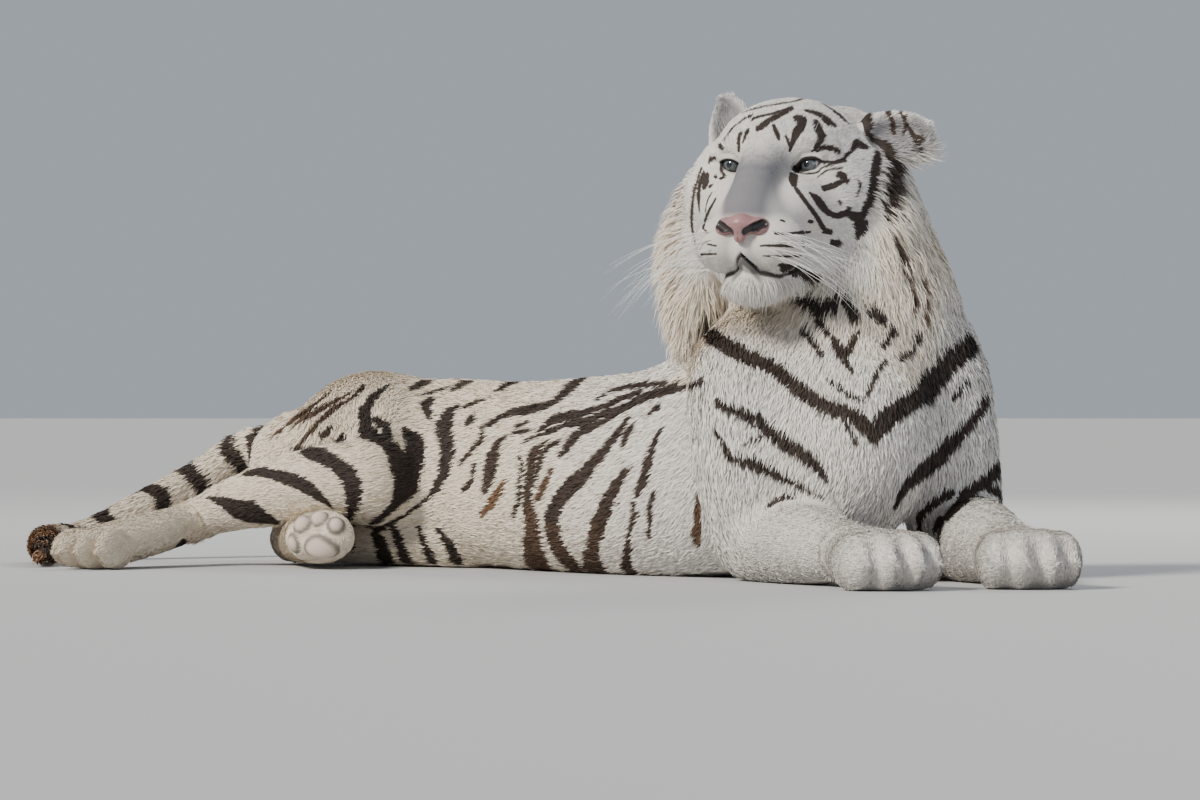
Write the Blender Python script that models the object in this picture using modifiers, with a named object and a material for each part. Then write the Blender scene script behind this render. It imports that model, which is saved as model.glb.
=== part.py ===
"""White tiger lying at rest, life size, as a still display model.

The animal lies on its left side from ribs to hips, with its belly and hind feet towards -Y,
and props its chest up on both elbows with the forelegs stretched towards -Y. The head is held
level and turned a little to its right. +X runs from the hips towards the shoulders, +Z is up,
the floor is z = 0 and the origin is under the middle of the whole animal.

Each piece is a union of plain body forms, balls and lofted tubes, melted together by a voxel
remesh. A piece is then cut back by the neighbours that lie over it, with a thin gap.
"""

import math

import bmesh
import bpy
import numpy as np
from mathutils import Matrix, Vector

# ---------------------------------------------------------------- driving dimensions, metres
GAP = 0.0003  # left between neighbouring pieces
GAP_MARGIN = 1.15  # a cutter is swollen at its corners, so its flats swell a little less
FINE_CELL, LIMB_CELL, BODY_CELL = 0.006, 0.010, 0.013  # the remesh's cells
EYE_CELL = 0.003

EYE_MIDDLE = Vector((0.2515, 0.0, 0.6125))  # between the two eyes, on the lids' surface
HEAD_TURN = math.radians(-19.0)  # about the vertical, to the animal's right
EYE_RADIUS = 0.0185
EYE_SPREAD = 0.059  # from the middle plane to an eye's centre
EYE_DEPTH = 0.010  # from the lids' surface back to an eye's centre

PAW_HEIGHT, PAW_WIDTH = 0.094, 0.150
RIGHT_FOOT_HEIGHT, RIGHT_FOOT_WIDTH = 0.075, 0.122
LEFT_FOOT_HEIGHT, LEFT_FOOT_WIDTH = 0.102, 0.116

COAT_WHITE = (0.80, 0.77, 0.71)
COAT_CREAM = (0.76, 0.68, 0.56)
TAIL_BROWN = (0.55, 0.36, 0.20)
NOSE_PINK = (0.70, 0.42, 0.38)
EYE_BLUE = (0.46, 0.56, 0.62)

UP = Vector((0, 0, 1))
BACK = Vector((0, 1, 0))


# ---------------------------------------------------------------- forms
def ball(centre, radii, turn=(0, 0, 0)):
    """An ellipsoid: centre, three radii and a turn in degrees about x, y and z."""
    return {"kind": "ball", "centre": centre, "radii": radii, "turn": turn}


def tube(*stations, lean=UP):
    """A loft through stations (x, y, z, half width, half depth, roll in degrees).

    Four numbers make a round station. At roll 0 the depth runs as near to lean as it can.
    """
    return {"kind": "tube", "stations": stations, "lean": lean}


def both_sides(make, *args, **more):
    """The same form left and right of the head's middle plane."""
    return [make(*(mirrored(a, side) for a in args), **more) for side in (1, -1)]


def mirrored(values, side):
    return (values[0] * side, *values[1:])


def add_ball(bm, form, frame):
    turn = [Matrix.Rotation(math.radians(a), 4, axis) for a, axis in zip(form["turn"], "XYZ")]
    place = (
        frame
        @ Matrix.Translation(form["centre"])
        @ turn[2] @ turn[1] @ turn[0]
        @ Matrix.Diagonal((*form["radii"], 1))
    )
    bmesh.ops.create_uvsphere(bm, u_segments=20, v_segments=12, radius=1, matrix=place)


def smooth_path(stations, steps=5):
    """The stations with Catmull-Rom samples between them."""
    rows = np.array([s if len(s) == 6 else (*s, s[3], 0) for s in stations], float)
    ends = np.vstack([2 * rows[0] - rows[1], rows, 2 * rows[-1] - rows[-2]])
    ends[[0, -1], 3:] = rows[[0, -1], 3:]
    samples = []
    for a, b, c, d in zip(ends, ends[1:], ends[2:], ends[3:]):
        for t in np.arange(steps) / steps:
            samples.append(
                0.5 * (2 * b + (c - a) * t + (2 * a - 5 * b + 4 * c - d) * t**2
                       + (3 * b - a - 3 * c + d) * t**3)
            )
    return np.vstack([samples, rows[-1:]])


def add_tube(bm, form, frame, sides=16, cap_rings=3):
    rows = smooth_path(form["stations"])
    points = rows[:, :3]
    tangents = np.gradient(points, axis=0)
    tangents /= np.linalg.norm(tangents, axis=1, keepdims=True)
    rings = []
    for row, along in zip(rows, tangents):
        rings.append((row[:3], along, 1.0, row[3], row[4], row[5]))
    for end, sign in ((0, -1), (-1, 1)):
        row, along = rows[end], tangents[end]
        reach = min(row[3], row[4])
        for k in range(1, cap_rings + 1):
            angle = k * math.pi / 2 / (cap_rings + 0.35)
            centre = row[:3] + sign * along * reach * math.sin(angle)
            ring = (centre, along, math.cos(angle), row[3], row[4], row[5])
            rings.insert(0, ring) if sign < 0 else rings.append(ring)
    loops = []
    for centre, along, scale, side, deep, roll in rings:
        along = Vector(along)
        lift = (form["lean"] - along * form["lean"].dot(along)).normalized()
        right = along.cross(lift)
        angle = math.radians(roll)
        deep_axis = lift * math.cos(angle) - right * math.sin(angle)
        side_axis = along.cross(deep_axis)
        loop = []
        for k in range(sides):
            t = 2 * math.pi * k / sides
            at = Vector(centre) + scale * (
                side_axis * side * math.cos(t) + deep_axis * deep * math.sin(t)
            )
            loop.append(bm.verts.new(frame @ at))
        loops.append(loop)
    for first, second in zip(loops, loops[1:]):
        for k in range(sides):
            n = (k + 1) % sides
            bm.faces.new((first[k], second[k], second[n], first[n]))
    bm.faces.new(loops[0])
    bm.faces.new(loops[-1][::-1])


# ---------------------------------------------------------------- making a piece
def new_collection(name):
    collection = bpy.data.collections.new(name)
    bpy.context.scene.collection.children.link(collection)
    return collection


def painted(name, colour, roughness):
    material = bpy.data.materials.new(name)
    material.use_nodes = True
    shader = material.node_tree.nodes["Principled BSDF"]
    shader.inputs["Base Color"].default_value = (*colour, 1)
    shader.inputs["Roughness"].default_value = roughness
    shader.inputs["Metallic"].default_value = 0.0
    return material


def largest_shell(bm):
    """Drops every loose shell but the one with most faces."""
    left, shells = set(bm.faces), []
    while left:
        shell, edge_of_search = set(), [left.pop()]
        while edge_of_search:
            face = edge_of_search.pop()
            shell.add(face)
            for edge in face.edges:
                for near in edge.link_faces:
                    if near in left:
                        left.remove(near)
                        edge_of_search.append(near)
        shells.append(shell)
    keep = max(shells, key=len)
    doomed = [face for shell in shells if shell is not keep for face in shell]
    bmesh.ops.delete(bm, geom=doomed, context="FACES")


def slice_at(bm, point, outward):
    """Removes what lies beyond the plane and closes the cut with one flat face."""
    geometry = bm.verts[:] + bm.edges[:] + bm.faces[:]
    bmesh.ops.bisect_plane(
        bm, geom=geometry, dist=1e-6, plane_co=point, plane_no=outward, clear_outer=True
    )
    rim = [edge for edge in bm.edges if edge.is_boundary]
    bmesh.ops.triangle_fill(bm, use_beauty=True, use_dissolve=False, edges=rim)
    bmesh.ops.recalc_face_normals(bm, faces=bm.faces[:])


def baked(obj):
    """The object with its modifiers applied, as a plain triangle mesh of one shell."""
    graph = bpy.context.evaluated_depsgraph_get()
    mesh = bpy.data.meshes.new_from_object(obj.evaluated_get(graph))
    obj.modifiers.clear()
    bm = bmesh.new()
    bm.from_mesh(mesh)
    largest_shell(bm)
    bmesh.ops.triangulate(bm, faces=bm.faces[:])
    bm.to_mesh(mesh)
    bm.free()
    old = obj.data
    obj.data = mesh
    bpy.data.meshes.remove(old)
    return obj


def piece(name, forms, cell, triangles, material, frame=Matrix(), rests=True, soften=4):
    """One solid: the forms melted together on cells of one size, then thinned out."""
    bm = bmesh.new()
    for form in forms:
        (add_ball if form["kind"] == "ball" else add_tube)(bm, form, frame)
    bmesh.ops.recalc_face_normals(bm, faces=bm.faces[:])
    mesh = bpy.data.meshes.new(name)
    bm.to_mesh(mesh)
    bm.free()
    obj = bpy.data.objects.new(name, mesh)
    tiger.objects.link(obj)
    melt = obj.modifiers.new("melt", "REMESH")
    melt.mode = "VOXEL"
    melt.voxel_size = cell
    soft = obj.modifiers.new("soften", "SMOOTH")
    soft.factor = 0.5
    soft.iterations = soften
    baked(obj)
    thin = obj.modifiers.new("thin", "DECIMATE")
    thin.ratio = min(1.0, triangles / len(obj.data.polygons))
    baked(obj)
    cutter = bpy.data.objects.new("cut_" + name, obj.data.copy())
    cutter.hide_render = True
    cutter.display_type = "WIRE"
    cutters.objects.link(cutter)
    for vertex, normal in zip(cutter.data.vertices, obj.data.vertex_normals):
        vertex.co += normal.vector * GAP * GAP_MARGIN
    if rests:
        bm = bmesh.new()
        bm.from_mesh(obj.data)
        if min(v.co.z for v in bm.verts) < 0:
            slice_at(bm, Vector((0, 0, 0)), -UP)
        bm.to_mesh(obj.data)
        bm.free()
    obj.data.materials.clear()
    obj.data.materials.append(material)
    return obj


def sockets():
    """Two cutters that open the lids in front of the eyes."""
    made = []
    for side, form in zip(("left", "right"), socket_forms()):
        opening = piece(f"socket_{side}", [form], EYE_CELL, 90, white, HEAD, rests=False, soften=1)
        tiger.objects.unlink(opening)
        cutters.objects.link(opening)
        opening.hide_render = True
        opening.display_type = "WIRE"
        made.append(opening)
    return made


def cut_back(obj, *over):
    """Cuts a piece back by the neighbours that lie over it."""
    for other in over:
        cut = obj.modifiers.new("cut", "BOOLEAN")
        cut.operation = "DIFFERENCE"
        cut.solver = "EXACT"
        cut.object = bpy.data.objects["cut_" + other.name]
        baked(obj)


def part_by_plane(near, far, point, direction):
    """Gives one side of a plane to each of two overlapping pieces, with the gap between them."""
    for obj, side in ((near, 1), (far, -1)):
        bm = bmesh.new()
        bm.from_mesh(obj.data)
        slice_at(bm, point - direction * side * GAP / 2, direction * side)
        largest_shell(bm)
        bmesh.ops.triangulate(bm, faces=bm.faces[:])
        bm.to_mesh(obj.data)
        bm.free()


def split(obj, names, planes):
    """Parts a piece into lengths by planes (point, direction), each cut a gap wide."""
    for k, name in enumerate(names):
        bm = bmesh.new()
        bm.from_mesh(obj.data)
        if k < len(planes):
            point, direction = planes[k]
            slice_at(bm, Vector(point) - direction * GAP / 2, direction)
        if k > 0:
            point, direction = planes[k - 1]
            slice_at(bm, Vector(point) + direction * GAP / 2, -direction)
        largest_shell(bm)
        bmesh.ops.triangulate(bm, faces=bm.faces[:])
        mesh = bpy.data.meshes.new(name)
        bm.to_mesh(mesh)
        bm.free()
        mesh.materials.append(obj.data.materials[0])
        tiger.objects.link(bpy.data.objects.new(name, mesh))
    bpy.data.objects.remove(obj)


# ---------------------------------------------------------------- the head, facing -Y
HEAD = Matrix.Translation(EYE_MIDDLE) @ Matrix.Rotation(HEAD_TURN, 4, "Z")


def head_forms():
    """Skull, nape, brows, cheeks, muzzle, chin, jaw, throat and ruff, about the eyes' middle."""
    return [
        ball((0, 0.100, 0.010), (0.120, 0.125, 0.098)),
        ball((0.044, 0.185, 0.006), (0.105, 0.090, 0.096)),
        *both_sides(ball, (0.047, 0.020, 0.022), radii=(0.041, 0.035, 0.028)),
        *both_sides(tube, (0.024, -0.012, 0.026, 0.014), (0.052, -0.004, 0.031, 0.015),
                    (0.084, 0.018, 0.018, 0.014)),
        *both_sides(ball, (0.078, 0.075, -0.050), radii=(0.078, 0.100, 0.082)),
        *both_sides(ball, (0.055, 0.020, -0.075), radii=(0.050, 0.070, 0.058)),
        tube((0, 0.020, 0.020, 0.042, 0.050, 0), (0, -0.055, -0.022, 0.038, 0.044, 0),
             (0, -0.108, -0.064, 0.035, 0.033, 0)),
        ball((0, -0.072, -0.090), (0.062, 0.074, 0.056)),
        *both_sides(ball, (0.050, -0.020, -0.062), radii=(0.044, 0.062, 0.046)),
        *both_sides(ball, (0.041, -0.099, -0.118), radii=(0.046, 0.052, 0.043)),
        ball((0, -0.110, -0.126), (0.028, 0.040, 0.034)),
        ball((0, -0.080, -0.174), (0.053, 0.052, 0.036)),
        ball((0, 0.095, -0.170), (0.100, 0.110, 0.078)),
        *both_sides(tube, (0.026, -0.040, -0.158, 0.036), (0.076, 0.060, -0.112, 0.060)),
        *both_sides(tube, (0.100, 0.105, -0.005, 0.060), (0.136, 0.095, -0.105, 0.068),
                    (0.142, 0.075, -0.200, 0.056), (0.150, 0.062, -0.252, 0.034)),
    ]


def nose_forms():
    """The bare leather between the nostrils, and its foot down towards the lip."""
    return [
        ball((0, -0.138, -0.0915), (0.038, 0.025, 0.0140)),
        tube((0, -0.1465, -0.094, 0.0165), (0, -0.1505, -0.109, 0.0095)),
    ]


def socket_forms():
    """The almond openings between the lids."""
    return both_sides(ball, (EYE_SPREAD, -0.014, 0), radii=(0.020, 0.022, 0.012))


def ear_forms(side):
    """The right ear stands up; the left one is swung out and back, with a long inner fringe."""
    if side > 0:
        return [
            tube((0.120, 0.135, 0.038, 0.044, 0.028, 0), (0.160, 0.142, 0.044, 0.041, 0.021, 0),
                 (0.198, 0.140, 0.040, 0.029, 0.013, 0), lean=BACK),
        ]
    return [
        tube((-0.098, 0.125, 0.042, 0.040, 0.028, 0), (-0.103, 0.128, 0.078, 0.032, 0.021, 0),
             (-0.108, 0.126, 0.101, 0.018, 0.012, 0), lean=BACK),
    ]


# The planes that part head, neck, trunk and tail: a point and the direction towards the far piece.
NAPE_CUT = (HEAD @ Vector((0, 0.115, -0.080)), HEAD.to_3x3() @ Vector((0, -0.894, 0.447)))
WITHERS_CUT = (Vector((0.36, 0.10, 0.375)), Vector((0, -0.22, 0.975)).normalized())
TAIL_CUT = (Vector((-0.530, 1.075, 0.170)), Vector((0.78, 0.60, 0.05)).normalized())


# ---------------------------------------------------------------- trunk, neck and tail
def trunk_forms():
    """Lying on its left side at the hips and rolling upright towards the chest."""
    return [
        tube(
            (-0.478, 1.040, 0.150, 0.104, 0.100, 75),
            (-0.375, 0.955, 0.150, 0.140, 0.168, 75),
            (-0.268, 0.842, 0.148, 0.150, 0.182, 72),
            (-0.135, 0.693, 0.144, 0.148, 0.184, 68),
            (-0.008, 0.542, 0.146, 0.150, 0.200, 62),
            (0.108, 0.398, 0.150, 0.150, 0.210, 56),
            (0.205, 0.260, 0.178, 0.157, 0.205, 38),
            (0.285, 0.140, 0.205, 0.163, 0.205, 24),
            (0.345, 0.030, 0.214, 0.155, 0.190, 12),
            (0.378, -0.030, 0.214, 0.118, 0.152, 5),
        ),
        tube((0.340, 0.250, 0.340, 0.140), (0.250, 0.350, 0.270, 0.130), (0.120, 0.470, 0.200, 0.100)),
        tube((0.300, 0.260, 0.270, 0.130, 0.150, 0), (0.370, 0.100, 0.270, 0.150, 0.130, 0)),
    ]


def neck_forms():
    """A broad front column, the mane behind the right cheek and the sloping nape."""
    return [
        tube(
            (0.370, 0.090, 0.250, 0.150, 0.150, 0),
            (0.388, 0.100, 0.360, 0.161, 0.150, 0),
            (0.378, 0.120, 0.450, 0.145, 0.150, 0),
            (0.358, 0.145, 0.540, 0.128, 0.136, 0),
            (0.335, 0.155, 0.590, 0.108, 0.108, 0),
            lean=BACK,
        ),
        tube((0.213, 0.151, 0.532, 0.085), (0.238, 0.163, 0.422, 0.085), (0.281, 0.148, 0.342, 0.080)),
        tube((0.355, 0.200, 0.600, 0.110), (0.362, 0.220, 0.500, 0.130), (0.335, 0.250, 0.370, 0.140)),
    ]


def shoulder_forms(side):
    if side > 0:
        return [
            tube((0.475, 0.215, 0.360, 0.074), (0.484, 0.110, 0.300, 0.097),
                 (0.500, 0.080, 0.210, 0.093), (0.520, 0.090, 0.130, 0.080),
                 (0.532, 0.105, 0.070, 0.066)),
        ]
    return [
        tube((0.240, 0.145, 0.350, 0.074), (0.222, 0.035, 0.296, 0.094),
             (0.221, 0.000, 0.210, 0.091), (0.228, 0.006, 0.130, 0.078),
             (0.242, 0.026, 0.070, 0.066)),
    ]


def tail_forms():
    return [
        tube(
            (-0.480, 1.030, 0.160, 0.060), (-0.570, 1.100, 0.180, 0.042),
            (-0.660, 1.105, 0.130, 0.039), (-0.750, 1.060, 0.080, 0.038),
            (-0.840, 0.990, 0.034, 0.037), (-0.890, 0.890, 0.031, 0.036),
            (-0.884, 0.780, 0.029, 0.032), (-0.880, 0.705, 0.023, 0.025),
            (-0.884, 0.645, 0.017, 0.014),
        ),
    ]


# ---------------------------------------------------------------- legs
def paw_forms(wrist, toes, height, width):
    """A broad paw: the palm and four round toes close together in front of it."""
    wrist, toes = Vector(wrist), Vector(toes)
    along = toes - wrist
    along.z = 0
    along.normalize()
    across = along.cross(UP)
    middle = toes.z
    palm = toes - along * width * 0.50
    heading = math.degrees(math.atan2(along.y, along.x)) - 90
    forms = [
        tube((*wrist, width * 0.31, height * 0.44, 0),
             (*(wrist.lerp(palm, 0.50)), width * 0.40, height * 0.50, 0),
             (palm.x, palm.y, middle, width * 0.46, height * 0.50, 0)),
    ]
    for share, lead in ((-0.345, -0.13), (-0.125, 0.0), (0.125, 0.0), (0.345, -0.13)):
        at = toes + across * share * width + along * width * (lead - 0.36)
        forms.append(
            ball(at, (width * 0.150, width * 0.40, height * 0.45), turn=(0, 0, heading - share * 18))
        )
    return forms


def sole_forms(ankle, toes, height, width):
    """A foot turned up so that its round end, the sole, faces forward."""
    x, y, z = toes
    return [
        tube((*ankle, 0.36 * width), (x, y + 0.034, z, 0.47 * width, 0.46 * height, 0),
             (x, y + 0.022, z, 0.45 * width, 0.44 * height, 0)),
    ]


FORELEGS = {
    "right": {"elbow": (0.240, 0.030, 0.066), "wrist": (0.352, -0.230, 0.050),
              "toes": (0.430, -0.430, 0.040)},
    "left": {"elbow": (0.530, 0.110, 0.066), "wrist": (0.586, -0.174, 0.050),
             "toes": (0.620, -0.375, 0.040)},
}


# ankle and toes
HIND_FEET = {
    "right": ((-0.645, 0.740, 0.070), (-0.825, 0.510, 0.032)),
    "left": ((-0.490, 0.800, 0.042), (-0.440, 0.545, 0.050)),
}


def wrist_direction(leg):
    return (Vector(leg["wrist"]) - Vector(leg["elbow"])).normalized()


def forearm_forms(leg):
    elbow, wrist = Vector(leg["elbow"]), Vector(leg["wrist"])
    middle = elbow.lerp(wrist, 0.45)
    return [
        tube((*elbow, 0.073), (*middle, 0.069, 0.068, 0), (*elbow.lerp(wrist, 0.85), 0.057, 0.052, 0),
             (*wrist, 0.049, 0.043, 0)),
    ]


def thigh_forms(side):
    if side > 0:
        return [tube((-0.340, 0.930, 0.104, 0.107), (-0.270, 0.780, 0.088, 0.092),
                     (-0.205, 0.650, 0.064, 0.070))]
    return [tube((-0.370, 0.930, 0.190, 0.120, 0.120, 0), (-0.345, 0.800, 0.172, 0.108, 0.118, 0),
                 (-0.335, 0.640, 0.140, 0.085, 0.078, 0))]


def shank_forms(side):
    if side > 0:
        return [tube((-0.210, 0.640, 0.060, 0.064), (-0.330, 0.710, 0.052, 0.055),
                     (-0.480, 0.790, 0.038, 0.040))]
    return [tube((-0.345, 0.620, 0.140, 0.072), (-0.470, 0.670, 0.125, 0.062),
                 (-0.580, 0.715, 0.098, 0.045), (-0.645, 0.740, 0.072, 0.035))]


# ---------------------------------------------------------------- assembly
for old in list(bpy.data.objects):
    bpy.data.objects.remove(old)

tiger = new_collection("white_tiger")
cutters = new_collection("cutters")
cutters.hide_render = True

white = painted("white_coat", COAT_WHITE, 0.8)
cream = painted("cream_coat", COAT_CREAM, 0.8)
brown = painted("brown_coat", TAIL_BROWN, 0.8)
pink = painted("nose_leather", NOSE_PINK, 0.45)
blue = painted("eye", EYE_BLUE, 0.1)


def build():
    eyes = [
        piece(f"eye_{side}", [ball((x, EYE_DEPTH, 0), (EYE_RADIUS,) * 3)], EYE_CELL, 120, blue,
              HEAD, rests=False, soften=1)
        for side, x in (("left", EYE_SPREAD), ("right", -EYE_SPREAD))
    ]
    nose = piece("nose", nose_forms(), EYE_CELL, 120, pink, HEAD, rests=False, soften=1)
    ears = [
        piece(f"ear_{side}", ear_forms(sign), FINE_CELL, 170, white, HEAD, rests=False, soften=2)
        for side, sign in (("left", 1), ("right", -1))
    ]
    head = piece("head", head_forms(), FINE_CELL, 1400, white, HEAD, rests=False, soften=8)
    cut_back(head, *sockets(), *eyes, nose, *ears)
    neck = piece("neck", neck_forms(), BODY_CELL, 300, cream, soften=6)
    part_by_plane(neck, head, *NAPE_CUT)
    legs = []
    for side, sign in (("left", 1), ("right", -1)):
        leg = FORELEGS[side]
        paw_parts = paw_forms(leg["wrist"], leg["toes"], PAW_HEIGHT, PAW_WIDTH)
        paw = piece(f"forepaw_{side}", paw_parts, FINE_CELL, 370, white)
        forearm = piece(f"forearm_{side}", forearm_forms(leg), LIMB_CELL, 160, white)
        part_by_plane(forearm, paw, Vector(leg["wrist"]), wrist_direction(leg))
        shoulder = piece(f"shoulder_{side}", shoulder_forms(sign), BODY_CELL, 210, white, soften=6)
        cut_back(shoulder, head, forearm)
        legs += [forearm, shoulder]
    hind = []
    right_foot = paw_forms(*HIND_FEET["right"], RIGHT_FOOT_HEIGHT, RIGHT_FOOT_WIDTH)
    left_foot = sole_forms(*HIND_FEET["left"], LEFT_FOOT_HEIGHT, LEFT_FOOT_WIDTH)
    for side, sign, foot_forms in (("right", -1, right_foot), ("left", 1, left_foot)):
        foot = piece(f"hind_foot_{side}", foot_forms, FINE_CELL, 370, white)
        shank = piece(f"shank_{side}", shank_forms(sign), LIMB_CELL, 160, white)
        thigh = piece(f"thigh_{side}", thigh_forms(sign), BODY_CELL, 210, white, soften=6)
        cut_back(shank, foot)
        cut_back(thigh, shank, foot)
        for part in (foot, shank, thigh):
            cut_back(part, *hind)
        hind += [foot, shank, thigh]
    tail = piece("tail_whole", tail_forms(), LIMB_CELL, 340, white)
    trunk = piece("trunk_whole", trunk_forms(), BODY_CELL, 540, white, soften=6)
    part_by_plane(trunk, neck, *WITHERS_CUT)
    cut_back(neck, *legs)
    cut_back(trunk, *legs, *hind)
    part_by_plane(tail, trunk, *TAIL_CUT)
    cut_back(tail, *hind)
    split(tail, ["tail_root", "tail_middle", "tail_end", "tail_tip"],
          [((-0.64, 1.11, 0.15), Vector((-0.85, -0.1, -0.5)).normalized()),
           ((-0.81, 1.02, 0.05), Vector((-0.8, -0.55, -0.2)).normalized()),
           ((-0.890, 0.80, 0.03), Vector((0, -1, 0)))])
    for name in ("tail_end", "tail_tip"):
        bpy.data.objects[name].data.materials[0] = brown
    forward = Vector((0.657, -0.754, 0)).normalized()
    split(trunk, ["hips", "loin", "chest"],
          [((-0.20, 0.735, 0.15), forward), ((0.06, 0.435, 0.15), forward)])


def centre_on_floor():
    """Moves every object so that the origin is on the floor under the animal's middle."""
    corners = [v.co for obj in tiger.objects for v in obj.data.vertices]
    low = Vector([min(c[k] for c in corners) for k in range(3)])
    high = Vector([max(c[k] for c in corners) for k in range(3)])
    middle = (low + high) / 2
    for obj in (*tiger.objects, *cutters.objects):
        obj.location = (-middle.x, -middle.y, 0)


build()
centre_on_floor()
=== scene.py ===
"""Looks of the white tiger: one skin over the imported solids, its coat of tufts, eyes and whiskers."""
import math

import bmesh
import bpy
import numpy as np
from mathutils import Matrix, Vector
from mathutils.bvhtree import BVHTree
from mathutils.kdtree import KDTree


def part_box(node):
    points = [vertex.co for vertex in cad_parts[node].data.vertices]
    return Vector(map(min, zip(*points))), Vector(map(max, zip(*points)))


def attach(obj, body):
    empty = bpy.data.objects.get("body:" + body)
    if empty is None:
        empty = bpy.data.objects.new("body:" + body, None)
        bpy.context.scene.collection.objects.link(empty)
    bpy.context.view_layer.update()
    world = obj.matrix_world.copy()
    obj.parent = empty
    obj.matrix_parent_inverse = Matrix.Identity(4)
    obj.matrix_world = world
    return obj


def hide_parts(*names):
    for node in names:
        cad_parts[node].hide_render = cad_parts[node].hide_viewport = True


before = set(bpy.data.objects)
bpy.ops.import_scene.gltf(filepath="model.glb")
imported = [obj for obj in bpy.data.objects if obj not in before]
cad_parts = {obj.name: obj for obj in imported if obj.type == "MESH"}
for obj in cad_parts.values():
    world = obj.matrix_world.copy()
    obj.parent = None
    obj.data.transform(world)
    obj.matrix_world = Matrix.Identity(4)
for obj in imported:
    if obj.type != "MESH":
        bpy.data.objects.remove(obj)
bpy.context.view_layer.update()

rng = np.random.default_rng(7)

# ---------------------------------------------------------------- places, in metres
EYE_MIDDLE = np.array([0.2515, 0.0, 0.6125])  # where the body forms below put the eyes' middle
EYE_RADIUS = 0.0185
EYE_DEPTH = 0.01  # from the lids' surface back to an eye's centre
BODY_CELL, FINE_CELL = ((0.008, 0.004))
UP = np.array([0.0, 0.0, 1.0])
FAR = 0.2  # a distance given to places nowhere near a form
REACH = 0.08  # a form is only measured this close to it


def middle(node):
    low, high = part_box(node)
    return (np.array(low) + np.array(high)) / 2


def unit(v):
    v = np.asarray(v, float)
    return v / np.maximum(np.linalg.norm(v, axis=-1, keepdims=True), 1e-9)


EYES = {"left": middle("eye_left"), "right": middle("eye_right")}
across = unit(EYES["left"] - EYES["right"])
backwards = np.cross(UP, across)
HEAD_AXES = np.stack([across, backwards, UP])  # rows: to the animal's left, back, up
HEAD_ORIGIN = (EYES["left"] + EYES["right"]) / 2 - backwards * EYE_DEPTH
EYE_SPREAD = float(np.linalg.norm(EYES["left"] - EYES["right"])) / 2
SHIFT = HEAD_ORIGIN - EYE_MIDDLE  # from the forms' own places to the frame's


def from_head(points):
    return np.asarray(points, float) @ HEAD_AXES + HEAD_ORIGIN


def to_head(points):
    return (np.asarray(points, float) - HEAD_ORIGIN) @ HEAD_AXES.T


def curved(rows, steps):
    """Rows of a smooth curve through the given ones, with steps to a span.

    The columns from the fourth on keep level at its ends.
    """
    if len(rows) < 3:
        return rows
    ends = np.vstack([2 * rows[0] - rows[1], rows, 2 * rows[-1] - rows[-2]])
    ends[[0, -1], 3:] = rows[[0, -1], 3:]
    t = (np.arange(steps) / steps)[:, None]
    spans = [
        0.5 * (2 * b + (c - a) * t + (2 * a - 5 * b + 4 * c - d) * t**2 + (3 * b - a - 3 * c + d) * t**3)
        for a, b, c, d in zip(ends, ends[1:], ends[2:], ends[3:])
    ]
    return np.vstack([*spans, rows[-1:]])


# ---------------------------------------------------------------- forms with a distance
class Ball:
    """An ellipsoid."""

    def __init__(self, centre, radii, axes=None):
        self.centre = np.array(centre, float)
        self.radii = np.array(radii, float) * np.ones(3)
        self.axes = np.eye(3) if axes is None else axes
        reach = self.radii.max() + REACH
        self.low, self.high = self.centre - reach, self.centre + reach

    def distance(self, p):
        q = (p - self.centre) @ self.axes.T
        one = np.linalg.norm(q / self.radii, axis=1)
        two = np.linalg.norm(q / self.radii**2, axis=1)
        return one * (one - 1) / np.maximum(two, 1e-6)


class Tube:
    """A loft through rows (x, y, z, half width, half depth, roll in degrees), with round ends."""

    def __init__(self, rows, lean):
        rows = curved(rows, 4)
        self.points, self.radii = rows[:, :3], rows[:, 3:5]
        self.along = unit(np.gradient(self.points, axis=0))
        lift = unit(lean - self.along * (self.along @ lean)[:, None])
        right = np.cross(self.along, lift)
        angle = np.radians(rows[:, 5:6])
        self.deep = lift * np.cos(angle) - right * np.sin(angle)
        self.side = np.cross(self.along, self.deep)
        reach = self.radii.max() + REACH
        self.low, self.high = self.points.min(0) - reach, self.points.max(0) + reach

    def nearest(self, p):
        """The distance at each point, and the segment with the share of it where that is."""
        best, where = np.full(len(p), 1e3), np.zeros(len(p))
        for k, (a, b) in enumerate(zip(self.points, self.points[1:])):
            span = b - a
            t = np.clip((p - a) @ span / (span @ span), 0, 1)
            q = p - a - t[:, None] * span
            half = self.radii[k] + t[:, None] * (self.radii[k + 1] - self.radii[k])
            local = np.stack([q @ self.side[k], q @ self.deep[k], q @ unit(span)], 1)
            scale = np.concatenate([half, half.min(1, keepdims=True)], 1)
            one = np.linalg.norm(local / scale, axis=1)
            two = np.linalg.norm(local / scale**2, axis=1)
            d = one * (one - 1) / np.maximum(two, 1e-6)
            closer = d < best
            best[closer], where[closer] = d[closer], k + t[closer]
        return best, where

    def distance(self, p):
        return self.nearest(p)[0]


def melt(a, b, k):
    """The smaller of two distances, rounded over a width k where they meet."""
    h = np.maximum(k - np.abs(a - b), 0)
    return np.minimum(a, b) - h * h / (4 * k)


def station_rows(stations, coat):
    """Stations as whole rows, less the depth of the coat: a lone radius is both, and the roll is 0."""
    rows = np.array([(*s, s[3], 0) if len(s) == 4 else (*s, 0)[:6] for s in stations], float)
    rows[:, 3:5] -= coat
    return rows


def tube(*stations, coat=0.006, lean=UP):
    rows = station_rows(stations, coat)
    rows[:, :3] += SHIFT
    return Tube(rows, np.array(lean, float))


def head_ball(centre, radii, coat=0.003):
    """A ball in the head's own axes."""
    return Ball(from_head(centre), np.array(radii) - coat, HEAD_AXES)


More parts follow.
